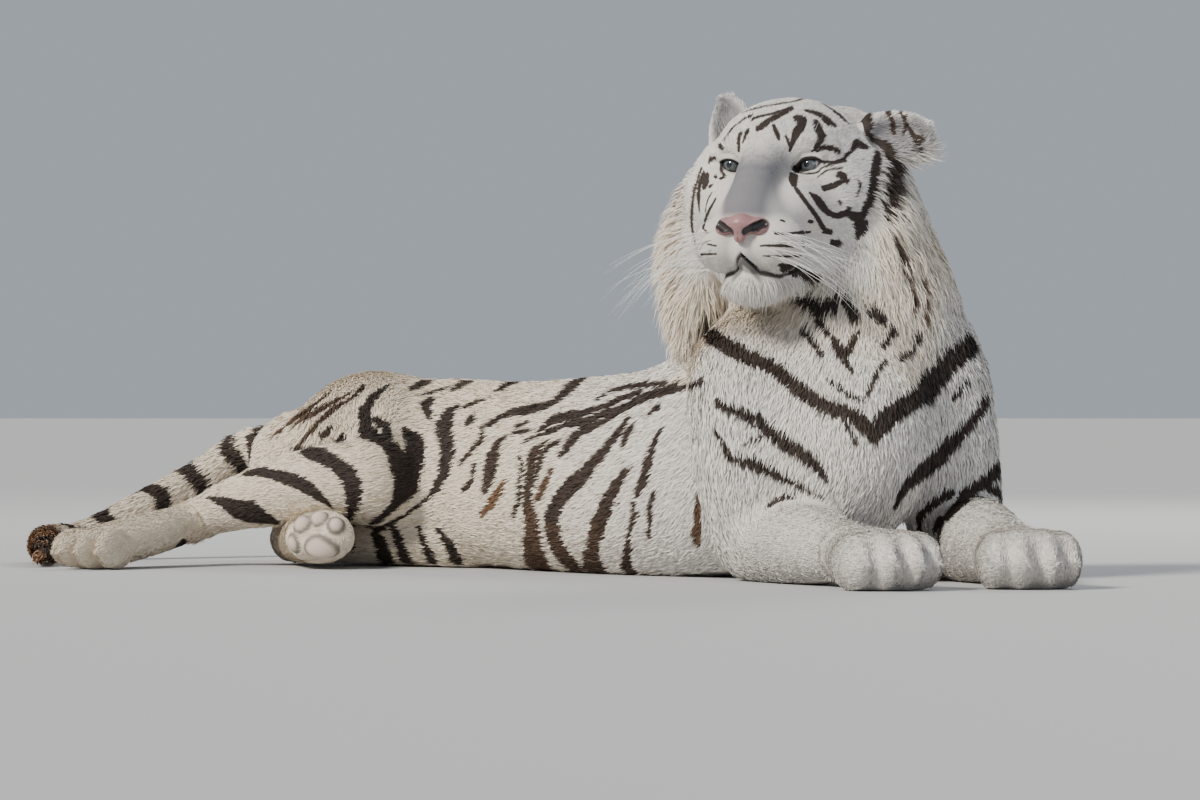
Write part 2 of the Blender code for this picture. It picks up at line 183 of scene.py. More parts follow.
def head_tube(*stations, coat=0.003, lean=UP):
    rows = station_rows(stations, coat)
    rows[:, :3] = from_head(rows[:, :3])
    return Tube(rows, np.array(lean, float) @ HEAD_AXES)


def flipped(station):
    return (-station[0], *station[1:])


def ball_pair(centre, radii, **more):
    return [head_ball(centre, radii, **more), head_ball(flipped(centre), radii, **more)]


def tube_pair(*stations, **more):
    return [head_tube(*stations, **more), head_tube(*map(flipped, stations), **more)]


# ---------------------------------------------------------------- the animal's forms
BACK = (0, 1, 0)
FLOOR_GAP = 0.001  # the skin's least height over the floor, where the coat is pressed flat
SKULL = [
    head_ball((0, 0.1, 0.01), (0.12, 0.125, 0.098), coat=0.006),
    head_ball((0.044, 0.185, 0.006), (0.105, 0.09, 0.096), coat=0.01),
    *ball_pair((0.047, 0.02, 0.022), (0.041, 0.035, 0.028)),
    *ball_pair((0.078, 0.075, -0.05), (0.078, 0.1, 0.082), coat=0.006),
    *ball_pair((0.055, 0.02, -0.075), (0.05, 0.07, 0.058), coat=0.004),
    head_tube((0, 0.02, 0.02, 0.042, 0.05), (0, -0.055, -0.022, 0.038, 0.044),
              (0, -0.108, -0.064, 0.035, 0.033)),
    head_ball((0, -0.072, -0.09), (0.062, 0.074, 0.056)),
    *ball_pair((0.05, -0.02, -0.062), (0.044, 0.062, 0.046)),
    head_ball((0, 0.095, -0.17), (0.1, 0.11, 0.078), coat=0.018),
    *tube_pair((0.026, -0.04, -0.158, 0.036), (0.076, 0.06, -0.112, 0.06), coat=0.006),
]
# the whisker pads and what lies between them
PADS = [*ball_pair((0.041, -0.099, -0.118), (0.046, 0.052, 0.043), coat=0.003),
        head_ball((0, -0.11, -0.126), (0.028, 0.04, 0.034), coat=0.003)]
CHIN = [head_ball((0, -0.08, -0.174), (0.053, 0.052, 0.036), coat=0.008)]
RUFF = tube_pair((0.1, 0.105, -0.005, 0.06), (0.136, 0.095, -0.105, 0.068),
                 (0.142, 0.075, -0.2, 0.056), (0.15, 0.062, -0.252, 0.034), coat=0.014)
# the ridge over each eye and the cheekbone under it
BROWS = [
    *tube_pair((0.024, -0.012, 0.026, 0.014), (0.052, -0.004, 0.031, 0.015),
               (0.084, 0.018, 0.018, 0.014), coat=0.002),
    *tube_pair((0.034, -0.026, -0.034, 0.014), (0.062, -0.006, -0.033, 0.014),
               (0.092, 0.026, -0.02, 0.014), coat=0.002),
]
EARS = [
    head_tube((0.12, 0.135, 0.038, 0.044, 0.028), (0.16, 0.142, 0.044, 0.041, 0.021),
              (0.198, 0.14, 0.04, 0.029, 0.013), lean=BACK),
    head_tube((-0.098, 0.125, 0.042, 0.04, 0.028), (-0.103, 0.128, 0.078, 0.032, 0.021),
              (-0.108, 0.126, 0.101, 0.018, 0.012), lean=BACK),
]
TRUNK = [
    tube((-0.478, 1.04, 0.15, 0.104, 0.1, 75), (-0.375, 0.955, 0.15, 0.14, 0.168, 75),
         (-0.268, 0.842, 0.148, 0.15, 0.182, 72), (-0.135, 0.693, 0.144, 0.148, 0.184, 68),
         (-0.008, 0.542, 0.146, 0.15, 0.2, 62), (0.108, 0.398, 0.15, 0.15, 0.21, 56),
         (0.205, 0.26, 0.178, 0.157, 0.205, 38), (0.285, 0.14, 0.205, 0.163, 0.205, 24),
         (0.345, 0.03, 0.214, 0.155, 0.19, 12), (0.378, -0.03, 0.214, 0.118, 0.152, 5),
         coat=0.008),
    tube((0.34, 0.25, 0.34, 0.14), (0.25, 0.35, 0.27, 0.13),
         (0.12, 0.47, 0.2, 0.1), coat=0.008),
    tube((0.3, 0.26, 0.27, 0.13, 0.15, 0), (0.37, 0.1, 0.27, 0.15, 0.13, 0),
         coat=0.01),
]
NECK = [
    tube((0.37, 0.09, 0.25, 0.15, 0.15), (0.388, 0.1, 0.36, 0.161, 0.15),
         (0.378, 0.12, 0.45, 0.145, 0.15), (0.358, 0.145, 0.54, 0.128, 0.136),
         (0.335, 0.155, 0.59, 0.108, 0.108), lean=BACK, coat=0.012),
    head_tube((-0.085, 0.13, -0.08, 0.085), (-0.066, 0.15, -0.19, 0.085),
              (-0.02, 0.15, -0.27, 0.08), coat=0.012),
    tube((0.355, 0.2, 0.6, 0.11), (0.362, 0.22, 0.5, 0.13),
         (0.335, 0.25, 0.37, 0.14), coat=0.012),
]
SIDES = ("left", "right")
SHOULDER = {
    "left": tube((0.475, 0.215, 0.36, 0.074), (0.484, 0.11, 0.3, 0.097), (0.5, 0.08, 0.21, 0.093),
                 (0.52, 0.09, 0.13, 0.08), (0.532, 0.105, 0.07, 0.066)),
    "right": tube((0.24, 0.145, 0.35, 0.074), (0.222, 0.035, 0.296, 0.094), (0.221, 0.0, 0.21, 0.091),
                  (0.228, 0.006, 0.13, 0.078), (0.242, 0.026, 0.07, 0.066)),
}
THIGH = {
    "left": tube((-0.34, 0.93, 0.104, 0.107), (-0.27, 0.78, 0.088, 0.092), (-0.205, 0.65, 0.064, 0.07)),
    "right": tube((-0.37, 0.93, 0.19, 0.12, 0.12), (-0.345, 0.8, 0.172, 0.108, 0.118),
                  (-0.335, 0.64, 0.14, 0.085, 0.078)),
}
SHANK = {
    "left": tube((-0.21, 0.64, 0.06, 0.064), (-0.33, 0.71, 0.052, 0.055), (-0.48, 0.79, 0.038, 0.04),
                 coat=0.005),
    "right": tube((-0.345, 0.62, 0.14, 0.072), (-0.47, 0.67, 0.125, 0.062), (-0.58, 0.715, 0.098, 0.045),
                  (-0.645, 0.74, 0.072, 0.035), coat=0.005),
}
TAIL = tube((-0.48, 1.03, 0.16, 0.06), (-0.57, 1.1, 0.18, 0.042), (-0.66, 1.105, 0.13, 0.039),
            (-0.75, 1.06, 0.08, 0.038), (-0.84, 0.99, 0.034, 0.037), (-0.89, 0.89, 0.031, 0.036),
            (-0.884, 0.78, 0.029, 0.032), (-0.88, 0.705, 0.023, 0.025), (-0.884, 0.645, 0.017, 0.014),
            coat=0.009)
# each foreleg's elbow, wrist and toes, and each hind leg's ankle, toes, and its foot's height and width
FORELEG = {
    "right": ((0.24, 0.03, 0.066), (0.352, -0.23, 0.05), (0.43, -0.43, 0.04)),
    "left": ((0.53, 0.11, 0.066), (0.586, -0.174, 0.05), (0.62, -0.375, 0.04)),
}
HIND = {
    "right": ((-0.645, 0.74, 0.07), (-0.825, 0.51, 0.032), 0.075, 0.122),
    "left": ((-0.49, 0.8, 0.042), (-0.44, 0.545, 0.05), 0.102, 0.116),
}


def forearm(side):
    elbow, wrist, _ = map(np.array, FORELEG[side])
    at = [elbow + (wrist - elbow) * share for share in (0, 0.45, 0.85, 1)]
    radii = ((0.073, 0.073), (0.069, 0.068), (0.057, 0.052), (0.049, 0.043))
    return [tube(*[(*p, *r) for p, r in zip(at, radii)], coat=0.005)]


# the upturned sole's pads, as places from its middle and radii: the large one, then four toes
SOLE_PADS = [Ball(np.array(HIND["left"][1]) + at + SHIFT, size) for at, size in (
    ((0.008, -0.023, -0.014), (0.025, 0.011, 0.018)), ((-0.035, -0.006, -0.008), (0.011, 0.012, 0.013)),
    ((-0.023, -0.012, 0.019), (0.012, 0.012, 0.013)), ((0.003, -0.016, 0.029), (0.012, 0.012, 0.012)),
    ((0.029, -0.025, 0.018), (0.011, 0.012, 0.012)))]


def paw(wrist, toes, height=0.094, width=0.15):
    """A foot flat on the floor: a broad palm and four toes side by side."""
    wrist, toes = np.array(wrist), np.array(toes)
    along = unit((toes - wrist) * (1, 1, 0))
    side = np.cross(along, UP)
    palm = toes - along * width * 0.5
    forms = [tube((*wrist, 0.31 * width, 0.44 * height),
                  (*(wrist + (palm - wrist) * 0.5), 0.4 * width, 0.5 * height),
                  (*palm, 0.46 * width, 0.5 * height), coat=0.005)]
    for share, lead in ((-0.345, -0.13), (-0.125, 0.0), (0.125, 0.0), (0.345, -0.13)):
        at = toes + side * share * width + along * width * (lead - 0.36)
        turn = math.radians(-share * 18)
        ahead = along * math.cos(turn) - side * math.sin(turn)
        axes = np.stack([np.cross(ahead, UP), ahead, UP])
        radii = np.array([width * 0.15, width * 0.4, height * 0.45]) - 0.004
        forms.append(Ball(at + SHIFT, radii, axes))
    return forms


def sole_foot(ankle, toes, height, width):
    """A foot turned up so that its sole faces forward: a rounded end with its five pads."""
    end = np.array(toes) - (0, -0.034, 0)
    return [tube((*ankle, 0.36 * width, 0.36 * width), (*end, 0.47 * width, 0.46 * height),
                 (*(end + (0, -0.012, 0)), 0.45 * width, 0.44 * height), coat=0.005), *SOLE_PADS]


# name: (forms, how softly they melt together, how softly the group melts onto those before it)
GROUPS = {
    "trunk": (TRUNK, 0.06, 0.01),
    "neck": (NECK, 0.04, 0.06),
    **{"shoulder_" + side: ([SHOULDER[side]], 0.03, 0.035) for side in SIDES},
    **{"forearm_" + side: (forearm(side), 0.02, 0.02) for side in SIDES},
    **{"forepaw_" + side: (paw(*FORELEG[side][1:]), 0.024, 0.018) for side in SIDES},
    "thigh_left": ([THIGH["left"]], 0.03, 0.02),
    "shank_left": ([SHANK["left"]], 0.02, 0.015),
    "thigh_right": ([THIGH["right"]], 0.03, 0.035),
    "shank_right": ([SHANK["right"]], 0.02, 0.012),
    "hind_foot_left": (sole_foot(*HIND["left"]), 0.01, 0.008),
    "hind_foot_right": (paw(*HIND["right"]), 0.008, 0.016),
    "tail": ([TAIL], 0.02, 0.02),
    "head": (SKULL + RUFF, 0.022, 0.012),
}
NAMES = list(GROUPS)
HEAD_ROW = NAMES.index("head")


def measured(forms, p, soft, start=None):
    """The melted distance of several forms at points p."""
    total = np.full(len(p), FAR) if start is None else start
    for form in forms:
        near = ((p > form.low) & (p < form.high)).all(1)
        if near.any():
            total[near] = melt(total[near], form.distance(p[near]), soft)
    return total


def carve(d, cut, soft):
    """Takes a form away, rounded over a width soft."""
    return -melt(-d, cut, soft)


def segment_distance(q, *points):
    """Distance to a polyline whose points end in a radius, negative inside it."""
    best = np.full(len(q), FAR)
    for a, b in zip(np.array(points, float), np.array(points[1:], float)):
        span = b[:3] - a[:3]
        t = np.clip((q - a[:3]) @ span / (span @ span), 0, 1)
        radius = a[3] + t * (b[3] - a[3])
        best = np.minimum(best, np.linalg.norm(q - a[:3] - t[:, None] * span, axis=1) - radius)
    return best


LID = 0.0028  # how far the lids stand off the eye
OPENING = (0.0178, 0.0068)  # half length and half height between the lids
EYE_SLANT = math.radians(15)
BALL_GAP = 0.0004  # between an eye and the socket that holds it
MUZZLE_MIDDLE = -0.06  # the y that the mouth line turns about
MOUTH_TURN = np.radians([0, 9, 20, 52, 90, 112])
MOUTH_HEIGHT = (-0.133, -0.147, -0.159, -0.164, -0.159, -0.15)


def eye_plane(q, side):
    """Outward, up and front places about an eye, turned by the slant of its opening."""
    u = q[:, 0] * side - EYE_SPREAD
    w = q[:, 2]
    c, s = math.cos(EYE_SLANT), math.sin(EYE_SLANT)
    return u * c + w * s, w * c - u * s, q[:, 1] - EYE_DEPTH


def almond(u, w):
    """Two arcs that meet in points: the distance outside an eye's opening."""
    length, height = OPENING
    radius = (length**2 + height**2) / (2 * height)
    return np.maximum(np.hypot(u, w - (radius - height)), np.hypot(u, w + radius - height)) - radius


def mouth(q):
    """Height above the line between the lips, and how far along it runs: 0 in front, 1 at its end."""
    turn = np.arctan2(np.abs(q[:, 0]), MUZZLE_MIDDLE - q[:, 1])
    return q[:, 2] - np.interp(turn, MOUTH_TURN, MOUTH_HEIGHT), turn / MOUTH_TURN[-1]


# polylines whose points end in a radius
NOSTRIL = ((0.013, -0.158, -0.1015, 0.0058), (0.024, -0.154, -0.0955, 0.0068),
           (0.036, -0.145, -0.0885, 0.0056))
PHILTRUM = ((0, -0.164, -0.104, 0.001), (0, -0.16, -0.12, 0.0016), (0, -0.153, -0.135, 0.0024))
LEATHER = [
    head_ball((0, -0.138, -0.0915), (0.036, 0.024, 0.0125), coat=0.0),
    head_tube((0, -0.149, -0.092, 0.017), (0, -0.152, -0.109, 0.0085), coat=0.0),
    *ball_pair((0.028, -0.14, -0.0935), (0.0115, 0.016, 0.0115), coat=0.0),
]


def face(p, d):
    """Brows, sockets, lids, ears' cups, nostrils and mouth, worked into the head's distance."""
    q = to_head(p)
    d = measured(PADS, p, 0.01, d)
    d = measured(BROWS, p, 0.014, d)
    for side in (1, -1):
        u, w, y = eye_plane(q, side)
        e = np.stack([u, w, y], 1)
        ball_at = np.linalg.norm(e, axis=1)
        hollow = segment_distance(e, (-0.016, -0.003, -0.02, 0.01), (0.004, 0.0, -0.022, 0.013))
        d = carve(d, hollow, 0.012)
        fold = segment_distance(e, (-0.018, 0.003, -0.015, 0.003), (-0.002, 0.0115, -0.019, 0.004),
                                (0.02, 0.007, -0.011, 0.003))
        lids = np.where(y < 0.004, ball_at - EYE_RADIUS - LID, FAR)
        d = melt(melt(d, lids, 0.006), fold, 0.007)
        d = carve(d, ball_at - EYE_RADIUS - BALL_GAP, 0.0005)
        d = carve(d, np.where(y < 0, almond(u, w), FAR), 0.0012)
    above, share = mouth(q)
    slot = np.maximum(np.abs(above) - 0.002 * np.clip(8 - 8 * share, 0, 1), -d - 0.01)
    d = carve(d, slot, 0.005)
    d = measured(CHIN, p, 0.01, d)
    d = melt(d, measured(LEATHER, p, 0.006), 0.003)
    m = np.stack([np.abs(q[:, 0]), q[:, 1], q[:, 2]], 1)
    d = carve(d, segment_distance(m, *NOSTRIL), 0.002)
    d = carve(d, segment_distance(m, *PHILTRUM), 0.004)
    d = melt(d, measured(EARS, p, 0.01), 0.014)
    for cup in EAR_CUPS:
        d = carve(d, cup.distance(p), 0.008)
    return d


EAR_CUPS = [
    head_tube((0.138, 0.108, 0.042, 0.029, 0.024), (0.168, 0.117, 0.046, 0.028, 0.022),
              (0.192, 0.124, 0.042, 0.017, 0.012), coat=0.0, lean=BACK),
    head_tube((-0.097, 0.099, 0.052, 0.025, 0.022), (-0.103, 0.107, 0.076, 0.021, 0.018),
              (-0.107, 0.114, 0.092, 0.01, 0.01), coat=0.0, lean=BACK),
]


def group_distances(p):
    rows = np.stack([measured(forms, p, soft) for forms, soft, _ in GROUPS.values()])
    near = rows[HEAD_ROW] < 0.12
    if near.any():
        rows[HEAD_ROW, near] = face(p[near], rows[HEAD_ROW, near])
    return rows


def melted(rows):
    total = rows[0]
    for row, (_, _, soft) in zip(rows[1:], list(GROUPS.values())[1:]):
        total = melt(total, row, soft)
    return total


def pressed(rows, p):
    """The distance at each point to the skin, flat where it rests on the floor."""
    return np.maximum(melted(rows), FLOOR_GAP - p[:, 2])


def region_field(names):
    """The field of only those places that belong to the named groups."""
    chosen = np.array([n in names for n in NAMES])

    def field(p):
        rows = group_distances(p)
        return np.maximum(pressed(rows, p), (rows[chosen].min(0) - rows[~chosen].min(0)) / 2)

    return field


# ---------------------------------------------------------------- a surface from a field
BLOCK = 4  # cells along a block's side
BATCH = 200_000  # points measured at once
PROBE, LONGEST_MOVE = 0.0006, 0.004
TETRA = np.array([(1, -1, -1), (-1, -1, 1), (-1, 1, -1), (1, 1, 1)], float)
CORNERS = np.array([(i, j, k) for i in (0, 1) for j in (0, 1) for k in (0, 1)])


def surface(field, low, high, cell):
    """Vertices and quads of a field's zero surface, measured only in blocks that are near it."""
    blocks = np.ceil((high - low) / cell / BLOCK).astype(int) + 1
    at = np.stack(np.meshgrid(*map(np.arange, blocks), indexing="ij"), -1).reshape(-1, 3)
    centre = low + (at * BLOCK + (BLOCK - 1) / 2) * cell
    rough = in_batches(field, centre)
    grid = np.repeat(np.repeat(np.repeat(
        np.where(rough < 0, -FAR, FAR).reshape(blocks), BLOCK, 0), BLOCK, 1), BLOCK, 2)
    kept = at[np.abs(rough) < cell * BLOCK * 1.3]
    inner = np.stack(np.meshgrid(*[np.arange(BLOCK)] * 3, indexing="ij"), -1).reshape(-1, 3)
    index = (kept[:, None] * BLOCK + inner).reshape(-1, 3)
    grid[tuple(index.T)] = in_batches(field, low + index * cell)
    inside = grid < 0
    size = np.array(grid.shape) - 1
    sums = sum(inside[i:i + size[0], j:j + size[1], k:k + size[2]].astype(np.int8)
               for i, j, k in CORNERS)
    cells = np.argwhere((sums > 0) & (sums < 8))
    number = np.full(size, -1)
    number[tuple(cells.T)] = np.arange(len(cells))
    values = np.stack([grid[tuple((cells + c).T)] for c in CORNERS], 1)
    total, count = np.zeros((len(cells), 3)), np.zeros(len(cells))
    for a in range(8):
        for b in range(a + 1, 8):
            if np.abs(CORNERS[a] - CORNERS[b]).sum() != 1:
                continue
            crosses = (values[:, a] < 0) != (values[:, b] < 0)
            t = values[crosses, a] / (values[crosses, a] - values[crosses, b])
            total[crosses] += CORNERS[a] + t[:, None] * (CORNERS[b] - CORNERS[a])
            count[crosses] += 1
    points = low + (cells + total / count[:, None]) * cell
    quads = []
    for axis in range(3):
        one, two = [(1, 2), (2, 0), (0, 1)][axis]
        ahead = np.eye(3, dtype=int)
        here = np.argwhere(np.diff(inside.astype(np.int8), axis=axis) != 0)
        here = here[((here > 0) & (here < size)).all(1)]
        ring = [number[tuple((here - o).T)] for o in
                (0 * ahead[0], ahead[one], ahead[one] + ahead[two], ahead[two])]
        ring = np.stack(ring, 1)
        turned = ~inside[tuple(here.T)]
        ring[turned] = ring[turned][:, ::-1]
        quads.append(ring[(ring >= 0).all(1)])
    return points, np.concatenate(quads)


def in_batches(field, p):
    return np.concatenate([field(p[k:k + BATCH]) for k in range(0, len(p), BATCH)])


def settled(field, p, passes):
    """Points moved onto the field's zero surface, by its values at four places about each."""
    for _ in range(passes):
        values = np.stack([in_batches(field, p + t * PROBE) for t in TETRA], 1)
        slope = values @ TETRA / (4 * PROBE)
        move = values.mean(1)[:, None] * slope / np.maximum((slope**2).sum(1, keepdims=True), 0.2)
        length = np.linalg.norm(move, axis=1, keepdims=True)
        p = p - move * np.minimum(1, LONGEST_MOVE / np.maximum(length, 1e-9))
    return p


def refined(points, faces, wanted):
    """The mesh as triangles, with every edge halved whose middle is wanted."""
    bm = bmesh.new()
    verts = [bm.verts.new(p) for p in points]
    for f in faces:
        if len(set(f)) == len(f):
            try:
                bm.faces.new([verts[i] for i in f])
            except ValueError:
                pass
    bmesh.ops.triangulate(bm, faces=bm.faces[:])
    for test in wanted:
        edges = bm.edges[:]
        mids = np.array([(e.verts[0].co + e.verts[1].co) / 2 for e in edges])
        mask = test(mids)
        bmesh.ops.subdivide_edges(bm, edges=[e for e, m in zip(edges, mask) if m], cuts=1)
        bmesh.ops.triangulate(bm, faces=[f for f in bm.faces if len(f.verts) > 3])
    bm.verts.index_update()
    out = np.array([v.co for v in bm.verts])
    tris = np.array([[v.index for v in f.verts] for f in bm.faces])
    bm.free()
    return out, tris


def in_face(p):
    q = to_head(p)
    return (q[:, 1] < 0.055) & (np.abs(q[:, 0]) < 0.125) & (q[:, 2] > -0.2)


def in_detail(p):
    q = to_head(p)
    eyes = np.hypot(np.abs(q[:, 0]) - EYE_SPREAD, q[:, 2]) < 0.03
    nose = (np.abs(q[:, 0]) < 0.045) & (q[:, 1] < -0.125)
    return (eyes & (q[:, 1] < 0.03)) | nose


FEET = [foot + side for foot in ("forepaw_", "hind_foot_") for side in SIDES]
# the groups meshed together, their cell, and which of their places are halved once more
REGIONS = [
    (["head"], FINE_CELL, [in_face, in_detail]),
    *[([foot], FINE_CELL, []) for foot in FEET],
    ([n for n in NAMES if n != "head" and n not in FEET], BODY_CELL, []),
]


def make_skin():
    points, tris, start = [], [], 0
    for names, cell, wanted in REGIONS:
        forms = [f for n in names for f in GROUPS[n][0]] + (EARS if "head" in names else [])
        low = np.min([f.low for f in forms], 0) + REACH - 0.03
        high = np.max([f.high for f in forms], 0) - REACH + 0.03
        field = region_field(names)
        p, quads = surface(field, low, high, cell)
        p, t = refined(settled(field, p, 2), quads, wanted)
        p = settled(field, p, 3 if wanted else 1)
        points.append(p)
        tris.append(t + start)
        start += len(p)
    return np.concatenate(points), np.concatenate(tris)


def mesh_of(name, points, faces):
    mesh = bpy.data.meshes.new(name)
    mesh.vertices.add(len(points))
    mesh.vertices.foreach_set("co", np.asarray(points, np.float32).ravel())
    mesh.loops.add(faces.size)
    mesh.loops.foreach_set("vertex_index", faces.astype(np.int32).ravel())
    mesh.polygons.add(len(faces))
    mesh.polygons.foreach_set("loop_start", np.arange(0, faces.size, faces.shape[1], dtype=np.int32))
    mesh.polygons.foreach_set("use_smooth", np.ones(len(faces), bool))
    mesh.update(calc_edges=True)
    obj = bpy.data.objects.new(name, mesh)
    bpy.context.scene.collection.objects.link(obj)
    return obj


# ---------------------------------------------------------------- the skin
skin_points, skin_tris = make_skin()
skin_field = pressed(group_distances(skin_points), skin_points)
inner_face = np.abs(skin_field[skin_tris]).min(1) > 0.0015  # where two regions butt inside
skin_tris = skin_tris[~inner_face]
skin_tree = BVHTree.FromPolygons([tuple(p) for p in skin_points], skin_tris.tolist())


def normals_of(points, faces):
    flat = np.cross(points[faces[:, 1]] - points[faces[:, 0]], points[faces[:, 2]] - points[faces[:, 0]])
    total = np.zeros_like(points)
    for k in range(3):
        np.add.at(total, faces[:, k], flat)
    return unit(total), np.linalg.norm(flat, axis=1) / 2


skin_normals, face_areas = normals_of(skin_points, skin_tris)

# ---------------------------------------------------------------- markings
EYE_LEVEL = 0.311
VISITOR = np.array([0.0, -9.0, EYE_LEVEL]) + SHIFT  # where a visitor looks at the animal from
# Each mark is drawn as that visitor sees it, flat on the upright plane through the eyes, and is
# carried back onto the skin along the line of sight. A row is how brown the mark is (0 near
# black, 100 rust), then its places: x and z in millimetres and half its width there in tenths.
HIND_MARKS = [
    (0, -576, 123, 24, -555, 116, 75, -531, 105, 132, -507, 98, 126, -477, 87, 42),
    (0, -522, 158, 24, -504, 161, 48, -483, 158, 66, -456, 150, 90, -429, 137, 84, -408, 122, 54,
     -394, 110, 18),
    (0, -453, 194, 18, -438, 194, 48, -414, 186, 84, -387, 171, 108, -369, 153, 126, -363, 134, 120,
     -364, 113, 90, -369, 92, 30),
    (0, -312, 287, 18, -325, 278, 36, -336, 266, 48, -346, 251, 66, -343, 233, 84, -342, 218, 90,
     -322, 210, 84, -307, 197, 90, -294, 176, 150, -283, 155, 198, -288, 134, 150, -300, 116, 66,
     -321, 96, 36, -342, 80, 18),
    (0, -333, 239, 36, -316, 227, 54, -312, 209, 54),
    (0, -286, 222, 36, -276, 209, 96, -273, 191, 114, -276, 170, 126, -282, 152, 150),
    (0, -212, 254, 42, -224, 245, 78, -229, 221, 84, -224, 197, 84, -227, 170, 78, -236, 146, 60,
     -245, 131, 36, -267, 113, 24, -294, 95, 24, -318, 83, 36, -330, 74, 60, -322, 56, 84, -315, 32, 84),
    (0, -248, 269, 24, -255, 257, 66, -250, 239, 36),
    (0, -191, 238, 54, -191, 233, 48),
    (0, -384, 209, 66, -382, 204, 60),
    (30, -397, 221, 48, -410, 215, 27),
    (50, -348, 287, 24, -360, 272, 42, -387, 255, 48, -408, 239, 48, -420, 224, 42, -435, 209, 30,
     -441, 198, 24),
    (60, -396, 278, 18, -414, 263, 42, -432, 249, 42, -454, 234, 54, -468, 221, 24, -480, 213, 30),
    (60, -360, 279, 18, -390, 264, 39, -417, 248, 39, -438, 236, 36, -450, 227, 18),
    (60, -420, 281, 12, -438, 269, 24, -453, 257, 24, -468, 248, 18),
    (20, -245, 300, 24, -258, 291, 54, -276, 282, 36),
    (20, -185, 300, 24, -200, 290, 60, -215, 281, 42),
    (20, -224, 284, 30, -242, 279, 42, -261, 273, 24),
    (20, -167, 267, 24, -185, 261, 42, -197, 255, 30),
    (10, -618, 56, 54, -606, 48, 60, -597, 38, 36),
    (10, -306, 86, 30, -297, 62, 60, -285, 32, 66),
    (10, -267, 80, 24, -258, 56, 45, -248, 32, 57),
    (10, -236, 74, 36, -221, 53, 57, -212, 32, 66),
    (30, -173, 227, 21, -176, 206, 30, -203, 176, 27),
    (30, -185, 170, 24, -188, 149, 33, -200, 134, 24),
]
FLANK_MARKS = [
    (20, -106, 304, 24, -123, 294, 63, -147, 281, 49),
    (20, -11, 299, 29, -33, 294, 59, -50, 277, 68, -69, 262, 49, -96, 253, 68, -128, 248, 54,
     -152, 237, 44, -164, 228, 24),
    (20, 99, 289, 34, 72, 288, 34, 43, 285, 44, 14, 278, 34, -3, 267, 20),
    (20, 60, 277, 34, 33, 268, 63, 2, 255, 49, -30, 245, 54, -67, 237, 63, -81, 226, 63, -89, 221, 34),
    (20, 116, 290, 24, 92, 279, 39, 58, 270, 39, 31, 253, 59, 4, 245, 54, -20, 234, 49, -45, 231, 44,
     -69, 221, 29, -111, 206, 17),
    (20, 153, 292, 29, 116, 282, 34, 82, 273, 39, 53, 260, 44, 24, 245, 49, -6, 228, 49, -30, 218, 54,
     -45, 201, 54, -57, 184, 24),
    (20, 78, 251, 44, 85, 254, 34),
    (25, 38, 235, 34, 28, 218, 63, 11, 196, 63, -8, 175, 63, -25, 155, 88, -47, 135, 83, -64, 111, 83,
     -72, 89, 73),
    (50, -72, 89, 73, -67, 67, 83, -57, 45, 102, -42, 26, 107, -33, 14, 63),
    (30, 50, 231, 24, 43, 218, 49, 33, 199, 20),
    (25, 87, 218, 20, 80, 201, 44, 70, 170, 44, 63, 145, 54, 55, 128, 39),
    (30, 43, 165, 20, 33, 153, 54, 19, 131, 63, 6, 101, 93, -3, 82, 83),
    (50, -3, 82, 83, -8, 60, 78, -11, 38, 78, -6, 16, 98),
    (30, 80, 131, 22, 75, 111, 27, 74, 94, 27, 72, 67, 24),
    (40, 50, 114, 27, 50, 92, 27, 43, 70, 22, 41, 48, 34, 41, 21, 59, 50, 9, 44),
    (70, 143, 123, 20, 145, 106, 32, 143, 75, 46, 143, 57, 34),
    (30, -140, 211, 20, -152, 199, 49, -159, 175, 73, -162, 155, 83, -169, 133, 29),
    (90, -142, 145, 20, -152, 126, 49, -164, 109, 44, -174, 99, 22),
    (35, -79, 204, 24, -96, 189, 54, -101, 167, 63, -106, 140, 59, -106, 116, 73),
    (60, -106, 116, 73, -101, 92, 83, -98, 67, 83, -96, 43, 107, -89, 21, 112),
    (30, -59, 206, 20, -79, 192, 34, -89, 170, 34, -96, 143, 27),
    (70, -72, 160, 24, -81, 140, 49, -91, 123, 37),
    (20, -120, 189, 15, -114, 167, 20, -118, 140, 22, -120, 116, 24, -128, 96, 15),
    (20, -106, 232, 20, -123, 227, 27),
    (20, -106, 221, 22, -128, 217, 20),
]
